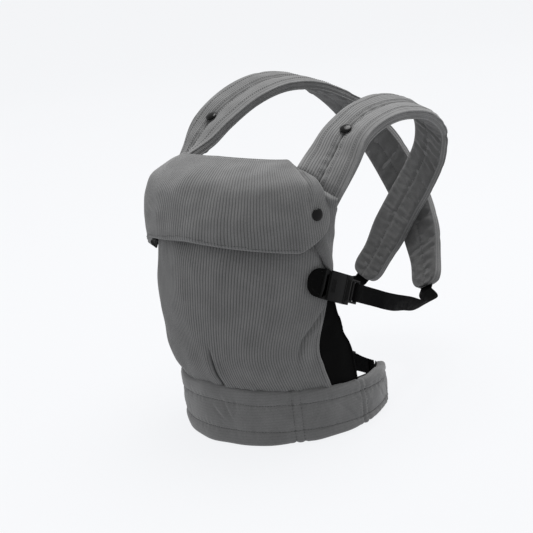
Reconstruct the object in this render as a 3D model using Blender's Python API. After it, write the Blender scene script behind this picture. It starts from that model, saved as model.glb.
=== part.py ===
"""Soft baby carrier, standing on the rim of its waistband, in metres, +Z up.

The wearer stands inside the waistband and faces -Y, so the front panel bulges to -Y and the
shoulder straps go over to +Y, where they cross. +X is the wearer's left side.
Every padded part is a cover and a lining with a foam core between them.
"""
import math

import bmesh
import bpy
import numpy as np
from mathutils import Matrix, Vector

MM = 0.001

# ---- driving dimensions, in millimetres and degrees --------------------------------------
GAP = 0.35                      # clearance between neighbouring layers
SKIN = 1.4                      # thickness of a cover or a lining
FOAM_EASE = 0.8                 # extra room under the foam of a twisted strap

BAND_RADIUS = 133.0             # outside of the closed waistband
BAND_THICKNESS = 12.0
BAND_HEIGHTS = ((0.0, 84.0), (90.0, 62.0), (140.0, 46.0))   # angle from the front, height
BAND_CORNER = 4.0
BAND_FRONT_END = 52.5           # where the front pad, the side sleeve and the end pad stop
BAND_SIDE_END = 95.0
BAND_BACK_END = 139.0

PANEL_THICKNESS = 8.0
# height, centre of the oval section in y, half width, depth, end angle, drop at the ends
PANEL_ROWS = (
    (86.0, 0.0, 131.0, 131.0, 72.0, 17.0),
    (104.0, -10.0, 135.0, 132.0, 71.0, 9.0),
    (132.0, -22.0, 133.0, 125.0, 74.0, 3.0),
    (190.0, -30.0, 130.0, 116.0, 89.0, 0.0),
    (248.0, -32.0, 127.0, 102.0, 97.0, 0.0),
    (296.0, -33.0, 118.0, 76.0, 95.0, 3.0),
    (338.0, -34.0, 101.0, 38.0, 90.0, 6.0),
)
GUSSET_THICKNESS = 2.0
GUSSET_ROWS = ((0.0, 18.0), (1.5, 20.0), (2.2, 15.0), (2.9, 2.0))   # panel row, width in degrees
GUSSET_FOOT_GAP = 0.8           # from its foot to the waistband's top edge

FLAP_THICKNESS = 9.0
FLAP_ROWS = (
    (355.0, -27.0, 97.0, 42.0, 78.0, 7.0),
    (345.0, -33.0, 116.0, 62.0, 86.0, 8.0),
    (327.0, -40.0, 136.0, 77.0, 95.0, 3.0),
    (298.0, -40.0, 143.0, 92.0, 97.0, 4.0),
    (280.0, -40.0, 146.0, 98.0, 91.0, 12.0),
    (266.0, -40.0, 147.0, 101.0, 68.0, 19.0),
)
FLAP_HINGE = (0.0, -46.0, 352.0)
FLAP_DROOP = 20.0               # the -X corner hangs lower than the other
FLAP_SNAP_ANGLE = 82.0
FLAP_SNAP_HEIGHT = 294.0

STRAP_WIDTH = 64.0
STRAP_END_WIDTH = 58.0
STRAP_TIP_TAPER = 0.2
STRAP_THICKNESS = 13.0
STRAP_LIFTS = {1: (0.0, 0.0, -7.0), -1: (-4.0, 0.0, 23.5)}   # the shoulders aren't level
STRAP_ROLLS = {1: 0.0, -1: 31.0}    # and the -X one leans outwards, in degrees
STRAP_LIFT_PLACES = {1: 0.38, -1: 0.355}
STRAP_CORNER = 4.5
STRAP_STATIONS = 25
STRAP_CROSSING = 0.715          # where along the strap it crosses the other one
STRAP_CLEARANCE = 4.5           # half the gap between the straps where they cross
STRAP_SNAP = 0.165
# centre of the +X strap, and the way its width runs, from the neck side to the arm side
STRAP_ROUTE = (
    ((124, -20, 322), (0.78, 0.33, -0.53)),
    ((121, 10, 342), (0.90, 0.18, -0.36)),
    ((118, 42, 365), (0.97, 0.06, -0.20)),
    ((112, 92, 380), (0.96, -0.02, -0.24)),
    ((102, 150, 382), (0.94, -0.10, -0.30)),
    ((91, 210, 368), (0.93, -0.20, -0.28)),
    ((74, 264, 334), (0.92, -0.32, -0.24)),
    ((50, 294, 286), (0.90, -0.30, -0.36)),
    ((25, 298, 243), (0.88, -0.24, -0.42)),
    ((0, 291, 205), (0.87, -0.20, -0.45)),
    ((-22, 278, 168), (0.86, -0.18, -0.46)),
    ((-41, 262, 132), (0.84, -0.16, -0.48)),
    ((-57, 241, 101), (0.84, -0.12, -0.50)),
)

SNAP_RADIUS = 7.5
SNAP_HEIGHT = 3.0

WEB_WIDTH = 22.0
WEB_THICKNESS = 1.6

SOCKET_LENGTH = 30.0
BUCKLE_HALF_WIDTH = 18.0
BUCKLE_HALF_THICKNESS = 5.5
BAR_HALF_THICKNESS = 2.4
BUCKLE_WALL = 1.6
SLOT_EASE = 0.8                 # room beside the webbing in a buckle's slot
BAR_BACK = 36.0                 # socket's webbing bar, behind the mouth
PLUG_BAR = 24.0                 # plug's webbing bar, in front of the mouth
PLUG_HALF_WIDTH = 14.5          # the plug's frame is narrower than its head
PRONG_ROOT = 11.0               # where the prongs turn, off the buckle's middle
SIDE_BUCKLE = ((136.4, -16.1, 185.6), (0.0, 0.89, -0.456), (1.0, 0.0, 0.0))
WAIST_BUCKLE = ((-14.0, 131.0, 20.0), (0.9877, -0.1564, 0.0), (0.1564, 0.9877, 0.0))
SIDE_TRAVEL = 22.0              # how far a plug pulls out of its socket
WAIST_TRAVEL = 12.0
SIDE_WEBBING = ((131, 86, 135), (119, 122, 121), (106, 163, 104), (91, 207, 96))
LOOP_OVERLAP = 12.0             # how far the plug's webbing loop holds the fixed webbing
TAB_LENGTH = 17.0
TAB_THICKNESS = 1.8
TAB_HALF_WIDTH = 17.0
TAB_BEND = 6.0                  # how far the tab bends inwards to the panel

FOOTPRINT_MIDDLE = 85.5         # middle of the object's depth, behind the waistband's centre

FABRIC = ((0.085, 0.088, 0.094), 0.95, 0.0)
LINING = ((0.06, 0.062, 0.066), 0.9, 0.0)
BLACK_CLOTH = ((0.012, 0.012, 0.014), 0.85, 0.0)
FOAM = ((0.6, 0.58, 0.52), 0.9, 0.0)
WEBBING = ((0.01, 0.01, 0.011), 0.7, 0.0)
PLASTIC = ((0.012, 0.012, 0.013), 0.4, 0.0)


# ---- general helpers ---------------------------------------------------------------------
def clear_scene():
    for obj in list(bpy.data.objects):
        bpy.data.objects.remove(obj, do_unlink=True)


def spline(points, count):
    """Points spaced evenly by parameter on a smooth curve through the given ones."""
    points = np.asarray(points, float)
    ends = np.vstack((2 * points[0] - points[1], points, 2 * points[-1] - points[-2]))
    result = []
    for t in np.linspace(0, len(points) - 1, count):
        i = min(int(t), len(points) - 2)
        f = t - i
        a, b, c, d = ends[i:i + 4]
        result.append(0.5 * (2 * b + (c - a) * f + (2 * a - 5 * b + 4 * c - d) * f ** 2
                             + (3 * b - a - 3 * c + d) * f ** 3))
    return np.array(result)


def unit(v):
    return v / np.linalg.norm(v, axis=-1, keepdims=True)


def material(obj, look):
    """Give the object a Principled material of its own."""
    colour, roughness, metallic = look
    mat = bpy.data.materials.new(obj.name)
    mat.use_nodes = True
    shader = mat.node_tree.nodes["Principled BSDF"]
    shader.inputs["Base Color"].default_value = (*colour, 1.0)
    shader.inputs["Roughness"].default_value = roughness
    shader.inputs["Metallic"].default_value = metallic
    obj.data.materials.append(mat)


def mesh_object(name, verts, faces, look, parent=None):
    """A closed mesh in millimetres, with its faces turned outwards."""
    mesh = bpy.data.meshes.new(name)
    mesh.from_pydata([tuple(c * MM for c in v) for v in verts], [], faces)
    bm = bmesh.new()
    bm.from_mesh(mesh)
    bmesh.ops.recalc_face_normals(bm, faces=bm.faces)
    bm.to_mesh(mesh)
    bm.free()
    mesh.shade_smooth()
    mesh.set_sharp_from_angle(angle=math.radians(40))
    obj = bpy.data.objects.new(name, mesh)
    bpy.context.collection.objects.link(obj)
    material(obj, look)
    if parent:
        obj.parent = parent
    return obj


def empty(name, place, turn=None):
    """An empty that carries a moving piece, standing on its joint's axis."""
    obj = bpy.data.objects.new(name, None)
    bpy.context.collection.objects.link(obj)
    frame = turn.to_4x4() if turn else Matrix.Identity(4)
    obj.matrix_world = Matrix.Translation(Vector(place) * MM) @ frame
    bpy.context.view_layer.update()
    return obj


def solid_between(name, outer, inner, look, parent=None):
    """A closed skin between two grids of points that lie one over the other."""
    rows, cols = outer.shape[:2]
    verts = list(outer.reshape(-1, 3)) + list(inner.reshape(-1, 3))
    shift = rows * cols

    def index(i, j, side):
        return side * shift + i * cols + j

    faces = []
    for side in (0, 1):
        for i in range(rows - 1):
            for j in range(cols - 1):
                a, b = index(i, j, side), index(i + 1, j, side)
                c, d = index(i + 1, j + 1, side), index(i, j + 1, side)
                # both layers share one diagonal, so that neighbouring layers stay parallel
                faces += [(a, b, c), (a, c, d)] if side == 0 else [(c, b, a), (d, c, a)]
    rim = [(i, 0) for i in range(rows)] + [(rows - 1, j) for j in range(1, cols)]
    rim += [(i, cols - 1) for i in range(rows - 2, -1, -1)]
    rim += [(0, j) for j in range(cols - 2, 0, -1)]
    for a, b in zip(rim, rim[1:] + rim[:1]):
        faces.append((index(*a, 0), index(*b, 0), index(*b, 1), index(*a, 1)))
    return mesh_object(name, verts, faces, look, parent)


def normals(grid):
    """Unit normals of a grid of points."""
    along = np.gradient(grid, axis=0)
    across = np.gradient(grid, axis=1)
    return unit(np.cross(along, across))


def layer(name, grid, top, bottom, look, parent=None, facing=None, trim=0):
    """A layer between two distances from a surface, positive outwards, short of its edges."""
    normal = normals(grid)
    middle = tuple(s // 2 for s in grid.shape[:2])
    if np.dot(normal[middle], facing) < 0:
        normal = -normal
    if trim:
        grid, normal = grid[trim:-trim, trim:-trim], normal[trim:-trim, trim:-trim]
    return solid_between(name, grid + normal * top, grid + normal * bottom, look, parent)


# ---- cross sections ----------------------------------------------------------------------
def channel(half_width, bottom, top, corner, crown=0.0):
    """Chain of (width, height) points up one side, over the top and down the other."""
    half = [(-half_width, bottom), (-half_width, top - corner)]
    a = math.radians(45)
    half.append((-half_width + corner * (1 - math.cos(a)), top - corner + corner * math.sin(a)))
    half.append((-half_width + corner, top))
    half.append((-half_width * 0.45, top + crown * 0.8))
    return np.array(half + [(0.0, top + crown)] + [(-w, h) for w, h in half[::-1]])


def lay_section(section, centres, widths, heights, scale=None):
    """Place one cross section at every station of a route."""
    scale = np.ones(len(centres)) if scale is None else scale
    grid = centres[:, None] + (widths * scale[:, None])[:, None] * section[None, :, :1]
    return grid + heights[:, None] * section[None, :, 1:]


def padded_sections(half_width, thickness, corner, crown):
    """Outer and inner chains of a cover, a lining and the foam between them."""
    low, high = -thickness / 2, thickness / 2
    seam = low + SKIN + GAP
    cover = (channel(half_width, seam, high, corner, crown),
             channel(half_width - SKIN, seam, high - SKIN, corner - SKIN, crown))
    inside = SKIN + GAP
    core = channel(half_width - inside, seam, high - inside, corner - inside, crown)
    floor = core.copy()
    floor[:, 1] = seam + FOAM_EASE
    core[:, 1] = np.maximum(core[:, 1], seam + FOAM_EASE + 1.0)
    flat = np.array([(w, low + SKIN) for w in np.linspace(-half_width, half_width, 6)])
    lining = (flat, flat - (0.0, SKIN))
    return {"cover": cover, "foam": (core, floor), "lining": lining}


# ---- waistband -----------------------------------------------------------------------------
def band_height(angle):
    known = np.array(BAND_HEIGHTS)
    return np.interp(abs(angle), known[:, 0], known[:, 1])


def band_point(angle, radius, height):
    a = math.radians(angle)
    return np.array((radius * math.sin(a), -radius * math.cos(a), height))


def band_grid(start, end, chain, steps):
    """Sweep a chain of (height share, radius) points round the waistband."""
    grid = []
    for angle in np.linspace(start, end, steps):
        height = band_height(angle)
        grid.append([band_point(angle, radius, height / 2 + side * (height / 2 - inset))
                     for side, inset, radius in chain])
    return np.array(grid)


def band_chain(skin):
    """Cover section from the inner bottom edge round the outside to the inner top edge."""
    radius = BAND_RADIUS - skin
    inner = BAND_RADIUS - BAND_THICKNESS + SKIN + GAP
    corner = BAND_CORNER - skin
    chain = [(-1, skin, inner), (-1, skin, radius - corner)]
    a = math.radians(45)
    chain.append((-1, skin + corner * (1 - math.cos(a)), radius - corner * (1 - math.sin(a))))
    chain.append((-1, skin + corner, radius))
    chain.append((0, 0.0, radius))
    return chain + [(-side, inset, r) for side, inset, r in chain[-2::-1]]


def build_band():
    sections = (("waistband_front", -BAND_FRONT_END, BAND_FRONT_END, 19),
                ("waistband_side_left", BAND_FRONT_END, BAND_SIDE_END, 8),
                ("waistband_side_right", -BAND_SIDE_END, -BAND_FRONT_END, 8),
                ("waistband_end_left", BAND_SIDE_END, BAND_BACK_END, 8),
                ("waistband_end_right", -BAND_BACK_END, -BAND_SIDE_END, 8))
    trim = math.degrees(GAP / BAND_RADIUS)
    lowest = SKIN + GAP
    for name, start, end, steps in sections:
        start, end = start + trim, end - trim
        solid_between(name + "_cover", band_grid(start, end, band_chain(0.0), steps),
                      band_grid(start, end, band_chain(SKIN), steps), FABRIC)
        foam_out = [(side, BAND_CORNER, BAND_RADIUS - lowest) for side in (-1, 1)]
        foam_in = [(side, BAND_CORNER, BAND_RADIUS - BAND_THICKNESS + lowest)
                   for side in (-1, 1)]
        solid_between(name + "_foam", band_grid(start, end, foam_out, steps),
                      band_grid(start, end, foam_in, steps), FOAM)
    inside = BAND_RADIUS - BAND_THICKNESS
    outer = [(-1, 0.0, inside + SKIN), (1, 0.0, inside + SKIN)]
    inner = [(-1, 0.0, inside), (1, 0.0, inside)]
    end = BAND_BACK_END - trim
    solid_between("waistband_lining", band_grid(-end, end, outer, 38),
                  band_grid(-end, end, inner, 38), BLACK_CLOTH)


# ---- front panel, gussets and head support ----------------------------------------------------
def oval_point(row, angle):
    """Point of an oval section: the row gives height, centre, half width and depth."""
    height, centre, half_width, depth, end, drop = row
    a = math.radians(angle)
    share = abs(angle) / end
    return np.array((half_width * math.sin(a), centre - depth * math.cos(a),
                     height - drop * share ** 1.3))


def oval_grid(rows, count_up, count_round):
    """Grid of points, rows upwards and columns from the -X end to the +X end."""
    grid = []
    for row in spline(rows, count_up):
        angles = np.linspace(-row[4], row[4], count_round)
        grid.append([oval_point(row, angle) for angle in angles])
    return np.array(grid)


def build_panel():
    grid = oval_grid(PANEL_ROWS, 12, 21)
    front = (0, -1, 0)
    inner = -PANEL_THICKNESS
    layer("panel_cover", grid, 0.0, -SKIN, FABRIC, facing=front)
    layer("panel_lining", grid, inner + SKIN, inner, LINING, facing=front)
    layer("panel_foam", grid, -SKIN - GAP, inner + SKIN + GAP, FOAM, facing=front, trim=1)


def build_gusset(name, side):
    """Triangle of black cloth that closes the leg opening beside the panel's lower edge."""
    rows = spline(PANEL_ROWS, 37)
    start, width = np.array(GUSSET_ROWS).T
    grid = []
    for row_number in np.linspace(start[0], start[-1], 12):
        row = rows[int(round(row_number * 6))]
        reach = np.interp(row_number, start, width)
        angles = np.linspace(row[4] + 0.4, row[4] + 0.4 + reach, 5)
        flat = np.array((*row[:5], 0.0))
        points = [oval_point(flat, side * angle) for angle in angles]
        foot = max(0.0, 1 - row_number)
        for point in points:
            around = math.degrees(math.atan2(abs(point[0]), -point[1]))
            edge = band_height(around) + GUSSET_FOOT_GAP
            point[2] = point[2] * (1 - foot) + edge * foot
        grid.append(points)
    grid = np.array(grid)
    middle = -PANEL_THICKNESS / 2
    half = GUSSET_THICKNESS / 2
    layer(name, grid, middle + half, middle - half, BLACK_CLOTH, facing=(side, 0, 0))


def build_head_support():
    carrier = empty("head_support_axis", FLAP_HINGE)
    rows = [(row[0] - FLAP_HINGE[2], row[1] - FLAP_HINGE[1], *row[2:]) for row in FLAP_ROWS]
    grid = oval_grid(rows, 10, 21)
    across, level = np.linspace(-1, 1, 21), np.linspace(0, 1, 10)[:, None]
    grid[..., 2] -= FLAP_DROOP * np.clip(-2 * across - 1, 0, 1) * level ** 2
    front = (0, -1, 0)
    inner = -FLAP_THICKNESS
    layer("head_support_cover", grid, 0.0, -SKIN, FABRIC, carrier, front)
    layer("head_support_lining", grid, inner + SKIN, inner, LINING, carrier, front)
    layer("head_support_foam", grid, -SKIN - GAP, inner + SKIN + GAP, FOAM, carrier, front, 1)
    for name, side in (("head_snap_left", 1), ("head_snap_right", -1)):
        heights = [row[0] for row in FLAP_ROWS]
        share = np.interp(-FLAP_SNAP_HEIGHT, [-h for h in heights], range(len(heights)))
        row = spline(FLAP_ROWS, 51)[int(round(share * 10))]
        place = oval_point(row, side * FLAP_SNAP_ANGLE)
        a = math.radians(FLAP_SNAP_ANGLE)
        out = unit(np.array((side * math.sin(a) * row[3], -math.cos(a) * row[2], 0.0)))
        add_snap(name, place, out, carrier)


def add_snap(name, place, out, parent=None):
    """Round press stud, standing on its cloth with its back a gap away from it."""
    profile = ((0.0, 0.0), (SNAP_RADIUS * 0.8, 0.0), (SNAP_RADIUS, SNAP_HEIGHT * 0.35),
               (SNAP_RADIUS * 0.93, SNAP_HEIGHT * 0.75), (SNAP_RADIUS * 0.6, SNAP_HEIGHT),
               (SNAP_RADIUS * 0.45, SNAP_HEIGHT * 0.7), (0.0, SNAP_HEIGHT * 0.6))
    steps = 14
    verts = [(0, 0, profile[0][1]), (0, 0, profile[-1][1])]
    for radius, height in profile[1:-1]:
        for k in range(steps):
            a = 2 * math.pi * k / steps
            verts.append((radius * math.cos(a), radius * math.sin(a), height))
    faces = []
    rings = len(profile) - 2
    for k in range(steps):
        n = (k + 1) % steps
        faces.append((0, 2 + n, 2 + k))
        for r in range(rings - 1):
            low, high = 2 + r * steps, 2 + (r + 1) * steps
            faces.append((low + k, low + n, high + n, high + k))
        last = 2 + (rings - 1) * steps
        faces.append((1, last + k, last + n))
    snap = mesh_object(name, verts, faces, PLASTIC)
    turn = Vector(out).to_track_quat("Z", "Y").to_matrix().to_4x4()
    world = Matrix.Translation(Vector(place + out * (GAP + 0.3)) * MM) @ turn
    if parent:
        snap.parent = parent
        world = parent.matrix_world.inverted() @ world
    snap.matrix_local = world


# ---- shoulder straps --------------------------------------------------------------------------
def strap_frames(side, count):
    """Centres, width directions and outward directions along a strap."""
    route = spline([p for p, w in STRAP_ROUTE], count)
    widths = unit(spline([w for p, w in STRAP_ROUTE], count))
    along = unit(np.gradient(route, axis=0))
    widths = unit(widths - along * np.sum(widths * along, axis=1, keepdims=True))
    heights = np.cross(widths, along)
    share = np.linspace(0, 1, count)
    step_out = np.exp(-((share - STRAP_CROSSING) / 0.2) ** 2)
    offset = -side * (STRAP_THICKNESS / 2 + STRAP_CLEARANCE) * step_out
    route = route + heights * offset[:, None]
    lift = np.exp(-((share - STRAP_LIFT_PLACES[side]) / 0.17) ** 2)
    route += np.array(STRAP_LIFTS[side]) * lift[:, None]
    roll = math.radians(STRAP_ROLLS[side]) * np.exp(-((share - 0.35) / 0.24) ** 2)[:, None]
    widths = widths * np.cos(roll) + heights * np.sin(roll)
    heights = np.cross(widths, along)
    mirror = np.array((side, 1, 1))
    return route * mirror, widths * mirror, heights * mirror


def strap_taper(count):
    """Width along a strap: narrower down the back, with a rounded lower end."""
    share = np.linspace(0, 1, count)
    narrow = np.interp(share, (0.35, 0.75), (1.0, STRAP_END_WIDTH / STRAP_WIDTH))
    narrow = narrow * (1 - STRAP_TIP_TAPER * np.clip((share - 0.84) / 0.08, 0, 1))
    missing = np.clip(1 - (1 - share) / 0.05, 0, 1)
    return narrow * (1 - 0.55 * missing ** 2)


def build_strap(name, side):
    stations = STRAP_STATIONS
    centres, widths, heights = strap_frames(side, stations)
    taper = strap_taper(stations)
    sections = padded_sections(STRAP_WIDTH / 2, STRAP_THICKNESS, STRAP_CORNER, 1.2)
    looks = {"cover": FABRIC, "foam": FOAM, "lining": LINING}
    for layer_name, (outer, inner) in sections.items():
        last = stations if layer_name != "foam" else stations - 1
        chosen = slice(0, last)
        args = (centres[chosen], widths[chosen], heights[chosen], taper[chosen])
        solid_between(f"strap_{layer_name}_{name}", lay_section(outer, *args),
                      lay_section(inner, *args), looks[layer_name])
    near = int(round(STRAP_SNAP * (stations - 1)))
    top = centres[near] + heights[near] * (STRAP_THICKNESS / 2 + 1.2)
    add_snap(f"strap_snap_{name}", top, heights[near])


# ---- buckles ------------------------------------------------------------------------------
def buckle_frame(place, forward, outward):
    """Rotation whose x runs out of the socket's mouth and whose z faces away from the body."""
    x = Vector(forward).normalized()
    z = Vector(outward)
    z = (z - x * z.dot(x)).normalized()
    y = z.cross(x)
    return Matrix((x, y, z)).transposed()


def block(name, low, high):
    """Plain box between two corners, in the buckle's own axes."""
    mesh = bpy.data.meshes.new(name)
    bm = bmesh.new()
    bmesh.ops.create_cube(bm, size=1.0)
    low, high = Vector(low) * MM, Vector(high) * MM
    bmesh.ops.scale(bm, vec=high - low, verts=bm.verts)
    bmesh.ops.translate(bm, vec=(high + low) / 2, verts=bm.verts)
    bm.to_mesh(mesh)
    bm.free()
    obj = bpy.data.objects.new(name, mesh)
    bpy.context.collection.objects.link(obj)
    return obj


def boolean(obj, operation, low, high):
    """Add a box to an object or cut one out of it."""
    tool = block(obj.name + "_tool", low, high)
    tool.parent = obj
    tool.hide_render = True
    tool.display_type = "WIRE"
    modifier = obj.modifiers.new(operation.lower(), "BOOLEAN")
    modifier.operation = operation
    modifier.solver = "EXACT"
    modifier.object = tool


def build_socket(name, frame):
    half, thick = BUCKLE_HALF_WIDTH, BUCKLE_HALF_THICKNESS
    bar_end = -BAR_BACK - 3.0
    socket = block(name, (bar_end, -half, -thick), (0, half, thick))
    inside = thick - BUCKLE_WALL
    boolean(socket, "DIFFERENCE", (-SOCKET_LENGTH + 3, -half + BUCKLE_WALL, -inside),
            (1, half - BUCKLE_WALL, inside))
    boolean(socket, "DIFFERENCE", (-23, -half - 1, -inside), (-9, half + 1, inside))
    slot = WEB_WIDTH / 2 + SLOT_EASE
    boolean(socket, "DIFFERENCE", (-BAR_BACK, -slot, -thick - 1), (-BAR_BACK + 4, slot, thick + 1))
    for low, high in ((BAR_HALF_THICKNESS, thick + 1), (-thick - 1, -BAR_HALF_THICKNESS)):
        boolean(socket, "DIFFERENCE", (bar_end - 1, -half - 1, low),
                (-SOCKET_LENGTH - 1, half + 1, high))
    material(socket, PLASTIC)
    socket.matrix_world = frame
    return socket


def build_plug(name, frame):
    half, thick = BUCKLE_HALF_WIDTH, BUCKLE_HALF_THICKNESS
    plug = block(name, (0.8, -half, -thick), (9.0, half, thick))
    bar = BAR_HALF_THICKNESS
    boolean(plug, "UNION", (-25, -3, -bar), (2, 3, bar))
    boolean(plug, "UNION", (8.0, -PLUG_HALF_WIDTH, -bar),
            (PLUG_BAR + 3.5, PLUG_HALF_WIDTH, bar))
    slot = WEB_WIDTH / 2 + SLOT_EASE
    boolean(plug, "DIFFERENCE", (11, -slot, -thick - 1), (14.5, slot, thick + 1))
    boolean(plug, "DIFFERENCE", (PLUG_BAR - 6, -slot, -thick - 1), (PLUG_BAR, slot, thick + 1))
    material(plug, PLASTIC)
    plug.matrix_world = frame
    return plug


def build_prong(name, frame, side):
    """Spring arm with its press pad, turning about its root beside the plug's body."""
    root = Matrix.Translation(Vector((-0.5, side * PRONG_ROOT, 0)) * MM)
    bar = BAR_HALF_THICKNESS
    low_y, high_y = sorted((side * -0.5, side * 2.5))
    near_y, far_y = sorted((side * 0.2, side * (BUCKLE_HALF_WIDTH - PRONG_ROOT - 2.0)))
    prong = block(name, (-19.5, low_y, -bar), (0.5, high_y, bar))
    boolean(prong, "UNION", (-20.5, near_y, -bar), (-10.5, far_y, bar))
    material(prong, PLASTIC)
    prong.matrix_world = frame @ root
    return prong


def ribbon(name, centres, widths, thickness, low, high, look, parent=None, width=WEB_WIDTH):
    """Flat webbing along a route, between two heights over its middle."""
    along = unit(np.gradient(centres, axis=0))
    widths = unit(widths - along * np.sum(widths * along, axis=1, keepdims=True))
    heights = np.cross(widths, along)
    half = width / 2
    section = np.array(((-half, 0.0), (half, 0.0)))
    top = lay_section(section + (0, high), centres, widths, heights)
    bottom = lay_section(section + (0, low), centres, widths, heights)
    return solid_between(name, top, bottom, look, parent)


def build_loop(name, frame, travel):
    """Webbing loop round the plug's bar, whose two layers hold the fixed webbing's end."""
    end = PLUG_BAR + 3.5 + travel + 3.0 + LOOP_OVERLAP
    half = WEB_WIDTH / 2
    grids = []
    for skin in (WEB_THICKNESS, 0.0):
        round_bar = BAR_HALF_THICKNESS + GAP + skin
        pinched = WEB_THICKNESS / 2 + GAP + skin
        upper = [(end, pinched), (PLUG_BAR + 10.0, pinched), (PLUG_BAR + 4.5, round_bar),
                 (PLUG_BAR - 0.9 - 0.5 * skin, round_bar), (PLUG_BAR - 1.4 - skin, round_bar * 0.6)]
        chain = upper + [(x, -z) for x, z in upper[::-1]]
        grids.append(np.array([[(x, y, z) for y in (-half, half)] for x, z in chain]))
    loop = solid_between(name, grids[0], grids[1], WEBBING)
    loop.matrix_world = frame


def along_frame(frame, x, y=0.0, z=0.0):
    """World point in millimetres of a point in a buckle's own axes."""
    return np.array(frame @ (Vector((x, y, z)) * MM)) / MM


def build_buckle(name, place, forward, outward, travel, route, route_widths):
    """Socket, plug, two prongs, the plug's loop and the fixed webbing that it holds."""
    turn = buckle_frame(place, forward, outward)
    frame = Matrix.Translation(Vector(place) * MM) @ turn.to_4x4()
    build_socket(f"{name}_buckle_socket", frame)
    build_plug(f"{name}_buckle_plug", frame)
    build_prong(f"{name}_buckle_prong_a", frame, 1)
    build_prong(f"{name}_buckle_prong_b", frame, -1)
    build_loop(f"{name}_webbing_loop", frame, travel)
    start = PLUG_BAR + 3.5 + travel + 3.0
    held = start + LOOP_OVERLAP + travel + 2.0
    straight = [along_frame(frame, x) for x in (start, (start + held) / 2, held, held + 7)]
    across = [np.array(turn.col[1])] * len(straight)
    for width in route_widths:
        across.append(width if np.dot(width, across[-1]) > 0 else -width)
    centres = spline(straight + list(route), 34)
    widths = spline(across, 34)
    ribbon(f"{name}_webbing", centres, widths, WEB_THICKNESS,
           -WEB_THICKNESS / 2, WEB_THICKNESS / 2, WEBBING)
    return frame


def strap_end(side):
    """Where the strap that ends on the given side stops, its width and the way it runs."""
    centres, widths, heights = strap_frames(-side, STRAP_STATIONS)
    along = unit(centres[-1] - centres[-2])
    return centres[-1], widths[-1] * side, along


def build_side_buckle(name, side):
    mirror = np.array((side, 1, 1))
    place, forward, outward = (np.array(v, float) * mirror for v in SIDE_BUCKLE)
    end, end_width, along = strap_end(side)
    if end_width[2] < 0:
        end_width = -end_width
    frame_width = np.array(buckle_frame(place, forward, outward).col[1])
    if frame_width[2] < 0:
        end_width = -end_width
    route = [np.array(p) * mirror for p in SIDE_WEBBING]
    route += [end + along * 10 + (side * 2, -5, 2), end + along * 1.0]
    shares = np.linspace(0.15, 1.0, len(SIDE_WEBBING))
    widths = [unit(frame_width * (1 - s) + end_width * s) for s in shares] + [end_width] * 2
    frame = build_buckle(f"side_{name}", place, forward, outward, SIDE_TRAVEL, route, widths)
    build_tab(f"side_tab_{name}", frame)


def build_tab(name, frame):
    """Rounded tab, sewn to the panel's edge and bent outwards to the socket's bar."""
    grid = []
    for length in np.linspace(0, TAB_LENGTH, 9):
        past = max(0.0, length - 3.0) / (TAB_LENGTH - 3.0)
        half = TAB_HALF_WIDTH * math.sqrt(1 - 0.96 * past ** 2.4)
        inwards = TAB_BEND * (length / TAB_LENGTH) ** 1.4
        grid.append([(-BAR_BACK - length, y, -3.6 - inwards)
                     for y in np.linspace(-half, half, 5)])
    grid = np.array(grid)
    skin = np.array((0.0, 0.0, TAB_THICKNESS / 2))
    tab = solid_between(name, grid + skin, grid - skin, BLACK_CLOTH)
    tab.matrix_world = frame


def build_waist_buckle():
    place, forward, outward = (np.array(v, float) for v in WAIST_BUCKLE)
    middle = BAND_RADIUS - BAND_THICKNESS / 2
    up = np.array((0, 0, 1.0))
    height = place[2]
    ends = [band_point(angle, middle, height) for angle in (165, 152, BAND_BACK_END + 0.3)]
    frame = build_buckle("waist", place, forward, outward, WAIST_TRAVEL, ends[1:], [up] * 2)
    bar = along_frame(frame, -BAR_BACK - 4.6)
    far = [band_point(-angle, middle, height) for angle in (150, BAND_BACK_END + 0.3)]
    route = spline([bar, bar * 0.5 + far[0] * 0.5 + np.array((-3, 3, 0)), far[0], far[1]], 14)
    ribbon("waist_webbing_fixed", route, np.array([up] * 14), WEB_THICKNESS,
           -WEB_THICKNESS / 2, WEB_THICKNESS / 2, WEBBING)


def move_origin():
    """Put the origin in the middle of the whole object's footprint."""
    for obj in bpy.data.objects:
        if obj.parent is None:
            obj.location.y -= FOOTPRINT_MIDDLE * MM


def main():
    clear_scene()
    build_band()
    build_panel()
    build_gusset("side_gusset_left", 1)
    build_gusset("side_gusset_right", -1)
    build_head_support()
    build_strap("left", 1)
    build_strap("right", -1)
    build_side_buckle("left", 1)
    build_side_buckle("right", -1)
    build_waist_buckle()
    move_origin()


main()
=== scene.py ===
import math

import bmesh
import bpy
import numpy as np
from mathutils import Matrix, Vector

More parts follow.
